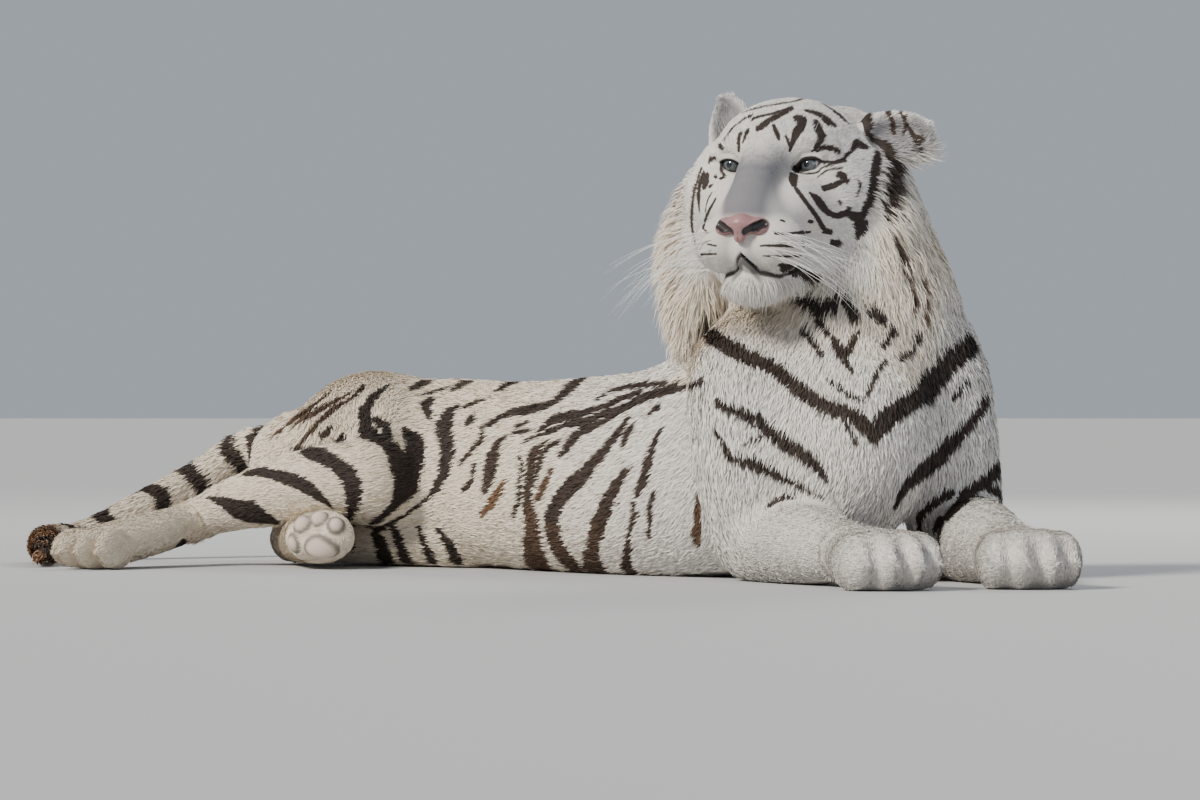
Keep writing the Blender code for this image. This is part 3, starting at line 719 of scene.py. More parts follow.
CHEST_MARKS = [
    (20, 148, 376, 40, 170, 356, 81, 210, 332, 85, 255, 312, 77, 291, 283, 89, 327, 259, 85, 364, 243, 97,
     392, 227, 89, 404, 209, 56),
    (0, 404, 207, 56, 416, 231, 113, 436, 251, 113, 469, 271, 101, 493, 296, 113, 513, 320, 129,
     541, 342, 113, 547, 348, 81),
    (0, 360, 235, 28, 376, 203, 20),
    (10, 172, 263, 32, 198, 249, 52, 235, 233, 69, 259, 211, 69, 291, 191, 73, 315, 173, 65, 333, 150, 28),
    (10, 170, 221, 20, 184, 199, 28, 192, 181, 32, 227, 171, 65, 255, 158, 44, 291, 142, 36, 327, 121, 16),
    (10, 214, 203, 16, 235, 211, 20),
    (10, 245, 108, 20, 263, 120, 32, 291, 124, 16),
    (10, 569, 265, 32, 553, 243, 52, 525, 211, 69, 501, 187, 89, 473, 162, 81, 448, 138, 48, 434, 110, 20),
    (10, 602, 179, 56, 573, 150, 73, 545, 130, 73, 521, 106, 81, 501, 86, 105),
    (20, 343, 356, 36, 356, 332, 52),
    (20, 376, 360, 36, 364, 336, 48),
    (0, 299, 368, 28, 327, 332, 32),
    (10, 360, 324, 32, 370, 308, 24),
    (0, 335, 296, 16, 384, 267, 20, 408, 308, 24, 420, 324, 16),
    (0, 440, 324, 28, 460, 340, 28, 469, 360, 28),
    (0, 291, 413, 56, 315, 396, 56, 343, 398, 56),
    (0, 400, 392, 65, 414, 382, 56),
    (0, 360, 413, 56, 376, 384, 48),
    (0, 319, 384, 40, 335, 364, 40),
    (0, 432, 368, 36, 416, 344, 32),
    (10, 541, 292, 24, 517, 267, 24),
]
FACE_MARKS = [
    (10, 282, 695, 18, 269, 688, 24, 251, 679, 33, 236, 668, 39),
    (10, 281, 697, 15, 257, 689, 21, 230, 682, 24, 225, 679, 18),
    (10, 209, 689, 12, 227, 695, 15, 251, 700, 15, 275, 704, 15, 287, 706, 12),
    (10, 203, 673, 12, 212, 680, 15, 222, 685, 15),
    (10, 218, 665, 15, 212, 650, 15, 210, 646, 12),
    (0, 207, 659, 18, 204, 650, 21, 204, 634, 18),
    (10, 189, 659, 12, 195, 667, 15, 203, 673, 12),
    (0, 177, 641, 27, 180, 638, 21),
    (10, 182, 649, 12, 191, 659, 12),
    (0, 255, 671, 21, 260, 659, 27, 263, 650, 18),
    (0, 273, 655, 15, 279, 641, 21),
    (0, 294, 680, 60, 297, 673, 51, 289, 659, 45, 282, 644, 30, 279, 634, 18),
    (0, 318, 677, 27, 323, 662, 45, 324, 650, 42, 317, 638, 27, 312, 633, 15),
    (0, 305, 692, 21, 323, 686, 33, 335, 677, 39, 344, 671, 21),
    (0, 330, 701, 21, 344, 692, 36, 356, 682, 36, 363, 676, 18),
    (0, 362, 709, 18, 374, 703, 33, 384, 692, 27),
    (10, 287, 706, 12, 299, 709, 15, 317, 707, 15, 330, 701, 15),
    (10, 338, 712, 15, 359, 710, 18, 374, 703, 18),
    (0, 319, 633, 18, 329, 638, 30, 341, 637, 30, 351, 632, 21),
    (0, 371, 635, 30, 378, 644, 45, 390, 639, 30),
    (0, 359, 622, 21, 368, 632, 24),
    (0, 323, 618, 21, 341, 616, 24, 359, 620, 27),
    (0, 294, 617, 15, 299, 622, 18, 314, 624, 18, 326, 618, 18),
    (0, 297, 600, 15, 308, 599, 15, 320, 602, 15, 326, 608, 12, 341, 613, 12),
    (0, 293, 611, 30, 287, 604, 48, 284, 593, 54, 285, 583, 39),
    (0, 288, 578, 24, 299, 563, 27, 308, 551, 27, 317, 539, 27, 326, 524, 30, 330, 518, 27),
    (0, 309, 571, 15, 321, 560, 45, 333, 545, 36, 347, 538, 36, 362, 542, 39, 366, 548, 27),
    (0, 330, 516, 36, 339, 514, 33),
    (0, 362, 542, 36, 377, 536, 60, 383, 527, 84, 384, 517, 72, 379, 506, 36),
    (0, 386, 538, 42, 395, 557, 48, 401, 575, 51, 405, 602, 51, 408, 626, 36, 407, 632, 21),
    (0, 342, 499, 39, 350, 497, 42),
    (0, 391, 682, 54, 394, 670, 60),
    (10, 392, 662, 30, 401, 650, 30),
    (0, 354, 599, 51, 359, 591, 54),
    (0, 329, 578, 36, 344, 583, 39, 354, 587, 30),
    (10, 320, 595, 9, 335, 605, 12, 356, 608, 9),
    (10, 352, 558, 18, 354, 556, 18),
    (20, 380, 590, 12, 382, 578, 15, 377, 569, 12),
    (20, 268, 531, 18, 270, 530, 15),
    (0, 307, 530, 21, 312, 529, 21),
    (10, 258, 512, 18, 278, 512, 18, 290, 513, 18, 308, 514, 15),
    (10, 236, 494, 15, 263, 494, 21, 284, 493, 18),
    (0, 298, 498, 21, 300, 496, 21),
    (10, 240, 479, 12, 269, 478, 15, 296, 479, 12),
    (0, 162, 620, 27, 169, 623, 24),
    (0, 178, 614, 18, 179, 604, 21, 184, 596, 15),
    (0, 155, 596, 39, 155, 583, 39),
    (0, 169, 596, 21, 171, 594, 21),
    (0, 179, 594, 21, 181, 593, 21),
    (0, 161, 582, 18, 164, 581, 18),
    (10, 164, 571, 12, 158, 560, 15, 155, 545, 12),
    (10, 170, 563, 12, 159, 542, 15, 152, 521, 15, 158, 514, 15),
    (20, 158, 496, 15, 170, 494, 15),
    (20, 149, 481, 15, 170, 482, 15),
    (40, 416, 698, 15, 429, 680, 27, 432, 659, 27),
    (40, 438, 695, 15, 449, 677, 24, 446, 659, 18),
    (30, 455, 662, 18, 473, 650, 27),
    (10, 151, 599, 21, 146, 581, 24, 145, 563, 21, 146, 545, 12),
    # this brownish streak where the face meets the ruff is partly a mark, partly painted shade
    (30, 149, 608, 12, 138, 569, 18, 135, 528, 21, 140, 497, 12),
    (30, 434, 503, 12, 446, 467, 24, 452, 440, 12),
    (60, 455, 443, 12, 462, 415, 21, 463, 392, 12),
    (60, 476, 438, 9, 480, 410, 18, 480, 377, 9),
    # this dark patch behind the mouth's corner is partly a black mark, partly painted shadow under the
    # whisker pad
    (0, 266, 466, 24, 281, 458, 54, 299, 451, 66, 317, 445, 42),
    (10, 287, 419, 36, 308, 404, 78, 329, 401, 72, 347, 413, 36),
    (10, 186, 721, 27, 203, 712, 36, 219, 705, 27),
    (20, 476, 685, 15, 491, 668, 24, 498, 641, 24, 495, 617, 15),
    (20, 449, 677, 15, 461, 656, 27, 473, 632, 24),
    # this wide bar at the cheek's outer edge is partly a mark, partly painted shade
    (10, 407, 647, 36, 423, 638, 60, 432, 608, 78, 434, 581, 84, 429, 551, 72, 426, 533, 42),
]

LEAST_HALF = 0.9  # millimetres
MOST_STRETCH = 1.8
FARTHEST_OFF = 0.06  # from a tube's own surface to the skin that it lies under
SPACING = 0.0025  # between the samples of a mark that is drawn
JOINED = 0.03  # samples nearer than this to the one before are joined to it
JOIN_SPACING = 0.004
FARTHEST_OUT = -0.02  # the value of places that no mark is near
samples = []  # rows of a place, half the mark's width there and how brown it is


def taper(t):
    """A brush mark's width along itself: full in the middle, finer at both ends."""
    return 0.45 + 0.55 * np.sqrt(np.clip(np.sin(np.pi * t), 0, 1))


def evenly(points):
    """Evenly spaced samples of a smooth curve through points (x, z, half width)."""
    points = curved(points, 8)
    run = np.concatenate([[0], np.cumsum(np.linalg.norm(np.diff(points[:, :2], axis=0), axis=1))])
    at = np.linspace(0, run[-1], max(2, int(run[-1] / SPACING) + 1))
    return np.stack([np.interp(at, run, c) for c in points.T], 1)


def lay(places, widths, rust):
    """Adds a mark's samples, filling in between those that landed near each other."""
    last = None
    for place, width in zip(places, widths):
        if place is not None:
            if last is not None and np.linalg.norm(place - last) < JOINED:
                gaps = int(np.linalg.norm(place - last) / JOIN_SPACING)
                samples.extend((*(last + (place - last) * k / (gaps + 1)), width, rust)
                               for k in range(1, gaps + 1))
            samples.append((*place, width, rust))
        last = place


def seen_from_front(place):
    """Whether nothing stands between the visitor and this place of the skin."""
    way = place - VISITOR
    far = np.linalg.norm(way)
    hit, _, _, reached = skin_tree.ray_cast(Vector(VISITOR), Vector(way / far))
    return hit is not None and reached > far - 0.012


def draw(rows, broader):
    """Lays marks that are seen from the front, wider where the skin turns away from the visitor."""
    for brown, *numbers in rows:
        line = evenly(np.reshape(numbers, (-1, 3)) / (1000, 1000, 10))
        run = unit(np.gradient(line[:, :2], axis=0))
        places, widths = [], []
        for (x, z, half), (dx, dz) in zip(line, run):
            way = unit(np.array([x, 0, z]) + SHIFT - VISITOR)
            hit, normal = skin_tree.ray_cast(Vector(VISITOR), Vector(way))[:2]
            stretch = 1.0
            if hit is not None:
                hit, normal, level = np.array(hit), np.array(normal), np.array([-dz, 0, dx])
                facing = min(float(way @ normal), -0.2)
                stretch = min(np.linalg.norm(level - way * (level @ normal) / facing), MOST_STRETCH)
            places.append(hit)
            widths.append(broader * max(half, LEAST_HALF) / 1000 * stretch)
        lay(places, widths, brown / 100)


def around(form, shares, half, rust, turns, slant=0.0, everywhere=False):
    """Stripes round a tube at shares of its length, from the spine through angles turns."""
    last = len(form.points) - 1
    for share in shares:
        base = np.clip(share + rng.normal(0, 0.008), 0, 1) * last
        wave, phase = rng.uniform(0.1, 0.25), rng.uniform(0, 6.3)
        for first, end in turns:
            way = 1 if end > first else -1
            places = []
            for angle in np.radians(np.arange(first, end + 2 * way, 2.5 * way)):
                k = np.clip(base + slant * abs(angle) + wave * math.sin(2.6 * angle + phase), 0, last)
                a = min(int(k), last - 1)
                t = k - a
                centre = form.points[a] * (1 - t) + form.points[a + 1] * t
                wide, deep = form.radii[a] * (1 - t) + form.radii[a + 1] * t
                at = centre + form.side[a] * math.sin(angle) * wide + form.deep[a] * math.cos(angle) * deep
                place = np.array(skin_tree.find_nearest(Vector(at))[0])
                hidden = everywhere or not seen_from_front(place)
                places.append(place if hidden and np.linalg.norm(place - at) < FARTHEST_OFF else None)
            widths = half * taper(np.linspace(0.12, 1, len(places))) * rng.uniform(0.8, 1.2)
            lay(places, widths, rust)


for rows, broader in ((HIND_MARKS, 1.15), (FLANK_MARKS, 1.2), (CHEST_MARKS, 1.25), (FACE_MARKS, 1.3)):
    draw(rows, broader)
spine, nape = TRUNK[0], NECK[2]
around(spine, np.linspace(0.05, 0.82, 15), 0.009, 0.15, [(-8, -115), (8, 115)], slant=-0.35)
around(spine, np.linspace(0.08, 0.8, 11), 0.005, 0.3, [(-35, -95), (35, 95)], slant=-0.35)
around(nape, np.linspace(0.1, 0.95, 7), 0.0075, 0.05, [(-8, -100), (8, 100)], slant=0.2)
around(TAIL, (0.09, 0.18, 0.27, 0.36, 0.45), 0.0115, 0.15, [(-180, 180)], everywhere=True)
around(TAIL, (0.55, 0.65, 0.75, 0.85, 0.95), 0.015, 0.4, [(-180, 180)], everywhere=True)
for side in SIDES:
    for limb, shares, half, rust, turn in (
            ("thigh_", (0.15, 0.35, 0.55, 0.75, 0.92), 0.0085, 0.1, 170),
            ("shank_", (0.15, 0.4, 0.65, 0.9), 0.0075, 0.1, 170),
            ("shoulder_", (0.25, 0.5, 0.75), 0.0065, 0.1, 170),
            ("forearm_", (0.2, 0.5, 0.8), 0.006, 0.15, 150)):
        around(GROUPS[limb + side][0][0], shares, half, rust, [(-turn, turn)])
around(GROUPS["forearm_left"][0][0], (0.1, 0.3), 0.0085, 0.3, [(100, -60)], slant=0.5, everywhere=True)

samples = np.array(samples)
mark_tree = KDTree(len(samples))
for k, sample in enumerate(samples):
    mark_tree.insert(sample[:3], k)
mark_tree.balance()


def mark_at(points):
    """How far inside the nearest mark each point is, in metres, and how brown that mark is."""
    _, which, away = zip(*map(mark_tree.find, points.tolist()))
    width, rust = samples[np.array(which), 3:].T
    return np.maximum(width - np.array(away), FARTHEST_OUT), rust


# ---------------------------------------------------------------- how the coat lies
def tube_lie(form, p, sign, belly):
    """The way along a tube at points p, turned by a share towards its underside."""
    where = form.nearest(p)[1]
    k = np.minimum(where.astype(int), len(form.points) - 2)
    return sign * form.along[k] - belly * form.deep[k]


NOSE_TIP = np.array([0, -0.165, -0.085])
# the way the hair lies along its group's first tube, how far it turns to the belly, length, width,
# and lift in degrees
COAT = {
    "trunk": (-1, 0.45, 0.017, 0.0024, 17), "neck": (-1, -0.25, 0.02, 0.0021, 17),
    "shoulder": (1, 0.0, 0.018, 0.0025, 19), "forearm": (1, 0.0, 0.014, 0.0015, 15),
    "forepaw": (1, 0.0, 0.011, 0.0014, 18), "thigh": (1, 0.0, 0.017, 0.0024, 17),
    "shank": (1, 0.0, 0.013, 0.0019, 17), "hind_foot_left": (1, 0.0, 0.008, 0.0016, 17),
    "hind_foot_right": (1, 0.0, 0.011, 0.0017, 17), "tail": (1, 0.0, 0.02, 0.0026, 20),
    "head": (1, 0.0, 0.0085, 0.0014, 13),
}


def head_lie(p):
    """In the head: back from the nose all over the face; down and outwards in the ruff."""
    q = to_head(p)
    lie = unit(q - NOSE_TIP)
    side = np.sign(q[:, :1])
    side[side == 0] = 1
    chin_share = (step(-0.14, -0.165, q[:, 2]) * step(-0.01, -0.05, q[:, 1]))[:, None]
    lie = unit(lie * (1 - chin_share) + chin_share * np.array([0, 0.35, -1.0]))
    low = step(-0.04, -0.2, q[:, 2:3])
    under = step(0.09, 0.04, np.abs(q[:, :1])) * low
    hanging = unit(np.concatenate(
        [side * (0.75 - 0.45 * low), 0.3 - 0.1 * low + 0.6 * under, -0.55 - 0.4 * low], 1))
    away = ruff_share(q)[:, None]
    return unit(lie * (1 - away) + hanging * away) @ HEAD_AXES


def step(low, high, x):
    t = np.clip((x - low) / (high - low), 0, 1)
    return t * t * (3 - 2 * t)


def ruff_share(q):
    """0 on the face, 1 in the ruff, under the chin and on the throat."""
    x, y, z = np.abs(q[:, 0]), q[:, 1], q[:, 2]
    cheek = step(0.132, 0.16, x) * step(0.05, -0.005, z) * step(-0.01, 0.05, y)
    throat = step(-0.15, -0.19, z) * step(-0.06, 0.0, y)
    return np.maximum(cheek, throat)


def describe(p, n):
    """For skin places p with normals n: lie, length, width and lift of the coat there."""
    rows = group_distances(p)
    weights = np.exp(-np.maximum(rows - rows.min(0), 0) / 0.016)
    weights[weights < 0.02] = 0
    weights /= weights.sum(0)
    lie, length = np.zeros_like(p), np.zeros(len(p))
    width, lift = np.zeros(len(p)), np.zeros(len(p))
    for weight, name in zip(weights, NAMES):
        near = weight > 0
        if not near.any():
            continue
        sign, belly, long, wide, degrees = COAT.get(name) or COAT[name.rsplit("_", 1)[0]]
        if name == "head":
            way = head_lie(p[near])
        else:
            way = tube_lie(GROUPS[name][0][0], p[near], sign, belly)
        lie[near] += weight[near, None] * way
        length += weight * long
        width += weight * wide
        lift += weight * degrees
    # the head's own lengths, from the nose back
    q = to_head(p)
    y, z = q[:, 1], q[:, 2]
    head_share, neck_share = weights[HEAD_ROW], weights[NAMES.index("neck")]
    away = ruff_share(q) * head_share
    from_nose = np.linalg.norm(q - NOSE_TIP, axis=1)
    face_long = 0.003 + 0.007 * step(0.05, 0.24, from_nose)
    length = length * (1 - head_share) + head_share * face_long
    width = width * (1 - head_share) + head_share * (0.0007 + 0.0007 * step(0.05, 0.24, from_nose))
    length = length * (1 - away) + away * 0.046
    width = width * (1 - away) + away * 0.002
    lift = lift * (1 - away) + away * 30
    beard = step(-0.135, -0.175, z) * step(0.0, -0.04, y) * head_share
    length += beard * 0.02
    # longer on the throat, shorter on the nape, longest at the tail's end
    length += neck_share * step(0.2, 0.7, -n[:, 1]) * 0.01
    length -= neck_share * step(0.5, 0.6, p[:, 2]) * step(0, 0.5, n[:, 1]) * 0.01
    length += weights[NAMES.index("tail")] * step(0.8, 0.68, p[:, 1] - SHIFT[1]) * 0.012
    # on the breast it hangs straight down
    breast = (1 - head_share) * step(0.22, 0.3, p[:, 0] - SHIFT[0]) * step(0.1, 0.5, -n[:, 1])
    breast *= step(0.1, 0.2, p[:, 2])
    lie = lie * (1 - breast[:, None]) - breast[:, None] * UP
    lie = lie - n * (lie * n).sum(1, keepdims=True)
    return unit(lie), length, width, np.radians(lift), away


skin_lie, coat_length, coat_width, coat_lift, skin_ruff = describe(skin_points, skin_normals)


def blurred(values, faces, passes):
    for _ in range(passes):
        total, count = np.zeros_like(values), np.zeros(len(values))
        for a, b in ((0, 1), (1, 2), (2, 0)):
            for one, two in ((a, b), (b, a)):
                np.add.at(total, faces[:, one], values[faces[:, two]])
                np.add.at(count, faces[:, one], 1)
        values = (values + total) / (count + 1).reshape(-1, *[1] * (values.ndim - 1))
    return values


skin_lie = blurred(skin_lie, skin_tris, 8)
skin_lie = unit(skin_lie - skin_normals * (skin_lie * skin_normals).sum(1, keepdims=True))


# ---------------------------------------------------------------- what each place of the skin is
def opening_distance(q):
    """The distance outside the opening of the nearer eye."""
    out = np.full(len(q), FAR)
    for side in (1, -1):
        u, w, y = eye_plane(q, side)
        out = np.where((y < 0.012) & (np.abs(u) < 0.03), np.minimum(out, almond(u, w)), out)
    return out


def skin_masks(p):
    """Shares of bare leather; dark rims and lips, with painted shade in the nostrils and the creases round
    the sole's pads; cream, with painted warm light on the flank; a grey bridge, darkened by painted shade;
    painted shade in the ears' cups; tan tail end and pink pads.
    """
    q = to_head(p)
    m = np.stack([np.abs(q[:, 0]), q[:, 1], q[:, 2]], 1)
    near = (q[:, 1] < -0.125) & (q[:, 2] > -0.122)
    bare = np.where(near, step(0.0022, 0.001, measured(LEATHER, p, 0.006)), 0)
    sole = np.min([pad.distance(p) for pad in SOLE_PADS], 0)
    pads_near = p[:, 1] - SHIFT[1] < HIND["left"][1][1] + 0.004
    pink = np.where(pads_near, step(0.0018, 0.0004, sole), 0)
    rim = step(0.0042, 0.0018, opening_distance(q))
    corner = segment_distance(m, (0.043, -0.016, -0.005, 0.0042), (0.036, -0.028, -0.016, 0.0022))
    above, share = mouth(q)
    front = (q[:, 1] < -0.02) & (np.abs(q[:, 0]) < 0.08) & (share < 1)
    steep = 1 + 0.5 * step(0.55, 0.25, share)
    lips = np.where(front, step(0.0044, 0.0014, np.abs(above + 0.0015) / steep), 0)
    lower = (q[:, 1] < -0.09) & (above < 0.002)
    lower_lip = np.where(lower, step(-0.02, -0.013, above) * step(0.03, 0.016, m[:, 0]), 0)
    # painted shade in the creases round the sole's pads
    pad_crease_shade = np.where(pads_near, step(0.006, 0.003, sole) * (1 - pink), 0)
    dark = np.max([rim, 0.75 * pad_crease_shade, step(0.003, 0.0, corner), 0.95 * lips, 0.72 * lower_lip,
                   # the nostrils are painted dark as the shade in their hollows
                   step(0.0026, 0.0008, segment_distance(m, *NOSTRIL)),
                   0.8 * step(0.0026, 0.0006, segment_distance(m, *PHILTRUM))], 0)
    cream = (0.35 + 0.6 * step(0.02, -0.13, q[:, 2])) * skin_ruff
    # the bridge's grey: partly the fur's own grey, partly painted shade
    bridge = step(0.046, 0.026, m[:, 0]) * step(0.035, -0.01, q[:, 2]) * step(-0.088, -0.07, q[:, 2])
    grey_and_shade = bridge * step(0.03, -0.02, q[:, 1])
    # painted shade in the hollow of each ear's cup
    cup = np.min([cup.distance(p) for cup in EAR_CUPS], 0)
    grey_and_shade = np.maximum(grey_and_shade, 0.75 * step(0.01, 0.002, cup))
    end = TAIL.nearest(p)
    tan = step(0.55, 0.72, end[1] / (len(TAIL.points) - 1)) * step(0.02, 0.0, end[0])
    cheek = ruff_share(q) * step(0.25, 0.21, m[:, 0]) * step(0.22, 0.18, q[:, 1]) * (q[:, 2] > -0.33)
    # the flank and belly: partly a cream tint of the coat, partly painted warm light
    flank_warm_light = step(0.16, -0.2, p[:, 0] - SHIFT[0]) * step(0.5, 0.3, p[:, 2])
    cream = np.max([cream, 0.75 * cheek * step(0.0, -0.12, q[:, 2]), 0.95 * flank_warm_light], 0)
    return bare, dark, cream, grey_and_shade, tan, pink


skin_values = dict(zip(("bare", "dark", "cream", "grey_and_shade", "tan", "pink"), skin_masks(skin_points)))
skin_values["mark"], skin_values["rust"] = mark_at(skin_points)

# ---------------------------------------------------------------- unwrap of the skin
skin = mesh_of("skin", skin_points, skin_tris)


def unwrap(obj):
    """The corners' places on an unwrap of the skin's own shape."""
    obj.data.uv_layers.new(name="OFBake")
    bpy.context.view_layer.objects.active = obj
    obj.select_set(True)
    bpy.ops.object.mode_set(mode="EDIT")
    bpy.ops.mesh.select_all(action="SELECT")
    bpy.ops.uv.smart_project(angle_limit=math.radians(70), island_margin=0.002)
    bpy.ops.object.mode_set(mode="OBJECT")
    places = np.empty(len(obj.data.loops) * 2, np.float32)
    obj.data.uv_layers["OFBake"].data.foreach_get("uv", places)
    return places.reshape(-1, 3, 2)


skin_unwrap = unwrap(skin)


# ---------------------------------------------------------------- tufts
TUFTS = 440_000
MOST_IN_PIECE = 62_000  # tufts of three triangles
PATCH = 0.003  # a tuft's patch on the unwrap
LASH_GAP = 0.0016  # how far from an eye the first tufts stand
ROOT_DEPTH = 0.0008  # how deep in the skin a tuft starts
LOWEST = 0.0008  # a tuft's least height over the floor
# painted shade at the hairs' roots, also given to the bare skin between the tufts
SHADE_AT_ROOT = -0.9


def clump_noise(p, size):
    """A soft wandering number from -1 to 1 over places p, about size across."""
    k = 2 * math.pi / size
    return (np.sin(p @ np.array([0.9, 0.4, 0.5]) * k) + np.sin(p @ np.array([-0.5, 0.8, 0.6]) * k * 1.3 + 1)
            + np.sin(p @ np.array([0.3, -0.7, 0.9]) * k * 1.7 + 2)) / 3


def coat_weights():
    """How many tufts each face of the skin takes, before they're scaled to the whole number."""
    length, width = coat_length[skin_tris].mean(1), coat_width[skin_tris].mean(1)
    weight = face_areas / (length * width)
    centre = skin_points[skin_tris].mean(1)
    normal = unit(skin_normals[skin_tris].mean(1))
    weight[centre[:, 2] < 0.004] = 0
    weight[(normal[:, 2] < -0.93) & (centre[:, 2] < 0.012)] = 0
    for name, most in (("bare", 0.25), ("dark", 0.3), ("pink", 0.3)):
        weight[skin_values[name][skin_tris].max(1) > most] = 0
    inside = np.linalg.norm(np.abs(to_head(centre)) - (EYE_SPREAD, EYE_DEPTH, 0), axis=1)
    weight[inside < EYE_RADIUS + LASH_GAP] = 0
    return weight


def sown(weight, count):
    """Faces and shares of their corners for count roots, spread by weight."""
    total = np.cumsum(weight)
    at = (np.arange(count) + rng.random(count)) / count * total[-1]
    face = np.minimum(np.searchsorted(total, at), len(weight) - 1)
    a, b = rng.random(count), rng.random(count)
    over = a + b > 1
    a[over], b[over] = 1 - a[over], 1 - b[over]
    return face, np.stack([1 - a - b, a, b], 1)


def at_roots(values, face, share):
    """The skin's values at roots."""
    corners = values[skin_tris[face]]
    return (corners * share.reshape(share.shape + (1,) * (corners.ndim - 2))).sum(1)


def sow_coat():
    """Every tuft's root, shape and colour, as arrays by name."""
    face, share = sown(coat_weights(), TUFTS)
    root = at_roots(skin_points, face, share)
    normal = unit(at_roots(skin_normals, face, share))
    lie = at_roots(skin_lie, face, share)
    length = at_roots(coat_length, face, share) * rng.uniform(0.75, 1.25, len(root))
    width = at_roots(coat_width, face, share) * rng.uniform(0.8, 1.2, len(root))
    lift = at_roots(coat_lift, face, share) * rng.uniform(0.5, 1.5, len(root))
    swing = 0.22 * clump_noise(root, 0.05) + 0.16 * clump_noise(root, 0.017) + rng.normal(0, 0.13, len(root))
    lie = unit(lie * np.cos(swing)[:, None] + np.cross(normal, lie) * np.sin(swing)[:, None])
    lift = lift + 0.1 * clump_noise(root + 0.3, 0.03)
    mark, rust = mark_at(root + lie * (length * 0.55)[:, None])
    mark = mark + 0.06 * length + rng.normal(0, 1, len(root)) * np.minimum(0.001, length * 0.06)
    tone = rng.normal(0, 0.5, len(root)) + 0.6 * clump_noise(root + 0.1, 0.024)
    return {
        "face": face, "share": share, "root": root, "normal": normal, "lie": lie, "length": length,
        "width": width, "lift": lift, "mark": mark, "rust": rust, "tone": tone,
        **{name: at_roots(skin_values[name], face, share) for name in ("cream", "grey_and_shade", "tan")},
        "patch": (skin_unwrap[face] * share[:, :, None]).sum(1),
    }


def blades(t):
    """Five points for every tuft: two at the root, two half way, one at the tip."""
    up, out = np.sin(t["lift"])[:, None], np.cos(t["lift"])[:, None]
    first = t["lie"] * out + t["normal"] * up
    second = unit(t["lie"] * out + t["normal"] * up * 0.15)
    side = unit(np.cross(first, t["normal"]))
    roll = rng.normal(0, 0.4, len(side))[:, None]
    side = side * np.cos(roll) + np.cross(first, side) * np.sin(roll)
    long, wide = t["length"][:, None], t["width"][:, None]
    foot = t["root"] - t["normal"] * ROOT_DEPTH
    knee = foot + first * long * 0.5
    tip = knee + second * long * 0.5
    return np.stack([foot - side * wide * 0.5, foot + side * wide * 0.5,
                     knee + side * wide * 0.38, knee - side * wide * 0.38, tip], 1)


BLADE = np.array([(0, 1, 2), (0, 2, 3), (3, 2, 4)])
# a tuft's tone from root to tip: painted shade at its root, lighter towards its tip
BLADE_ROOT_SHADE = np.array([SHADE_AT_ROOT, SHADE_AT_ROOT, 0.1, 0.1, 0.7])
BLADE_PATCH = np.array([(-0.5, -0.5), (0.5, -0.5), (0.4, 0.1), (-0.4, 0.1), (0, 0.5)]) * PATCH


def add_values(mesh, **values):
    for name, numbers in values.items():
        mesh.attributes.new(name, "FLOAT", "POINT").data.foreach_set(
            "value", np.asarray(numbers, np.float32))


MASKS = ("mark", "rust", "cream", "grey_and_shade", "tan")


def coat_piece(name, t):
    points = blades(t)
    points[:, :, 2] = np.maximum(points[:, :, 2], LOWEST)
    count = len(points)
    faces = (BLADE[None] + np.arange(count)[:, None, None] * 5).reshape(-1, 3)
    obj = mesh_of(name, points.reshape(-1, 3), faces)
    places = (np.clip(t["patch"], PATCH, 1 - PATCH)[:, None] + BLADE_PATCH)[:, BLADE].reshape(-1)
    obj.data.uv_layers.new(name="OFBake").data.foreach_set("uv", places.astype(np.float32))
    tone = (t["tone"][:, None] + BLADE_ROOT_SHADE).ravel()
    add_values(obj.data, tone=tone, **{k: np.repeat(t[k], 5) for k in MASKS})
    return obj


coat = sow_coat()
order = np.argsort(at_roots(np.arange(len(skin_points), dtype=float), coat["face"], coat["share"]))
shares_of_coat = [order[k:k + MOST_IN_PIECE] for k in range(0, TUFTS, MOST_IN_PIECE)]
coat_pieces = [coat_piece(f"coat_{k}", {name: values[chosen] for name, values in coat.items()})
               for k, chosen in enumerate(shares_of_coat, 1)]
# the skin between the tufts carries the roots' painted shade
add_values(skin.data, tone=np.full(len(skin_points), SHADE_AT_ROOT), **skin_values)


# ---------------------------------------------------------------- shader maths
class Number:
    """A number that varies over a surface, so that its maths reads as Python's own."""

    def __init__(self, material, socket):
        self.material, self.socket = material, socket

    def _math(self, operation, *values):
        return self.material.node("ShaderNodeMath", {"operation": operation}, *values)

    def __add__(self, other):
        return self._math("ADD", self, other)

    def __sub__(self, other):
        return self._math("SUBTRACT", self, other)

    def __mul__(self, other):
        return self._math("MULTIPLY", self, other)

    def __pow__(self, other):
        return self._math("POWER", self, other)

    def step(self, low, high):
        """0 below low, 1 above high, smooth between."""
        settings = {"interpolation_type": "SMOOTHSTEP"}
        return self.material.node("ShaderNodeMapRange", settings, self, low, high, 0.0, 1.0)


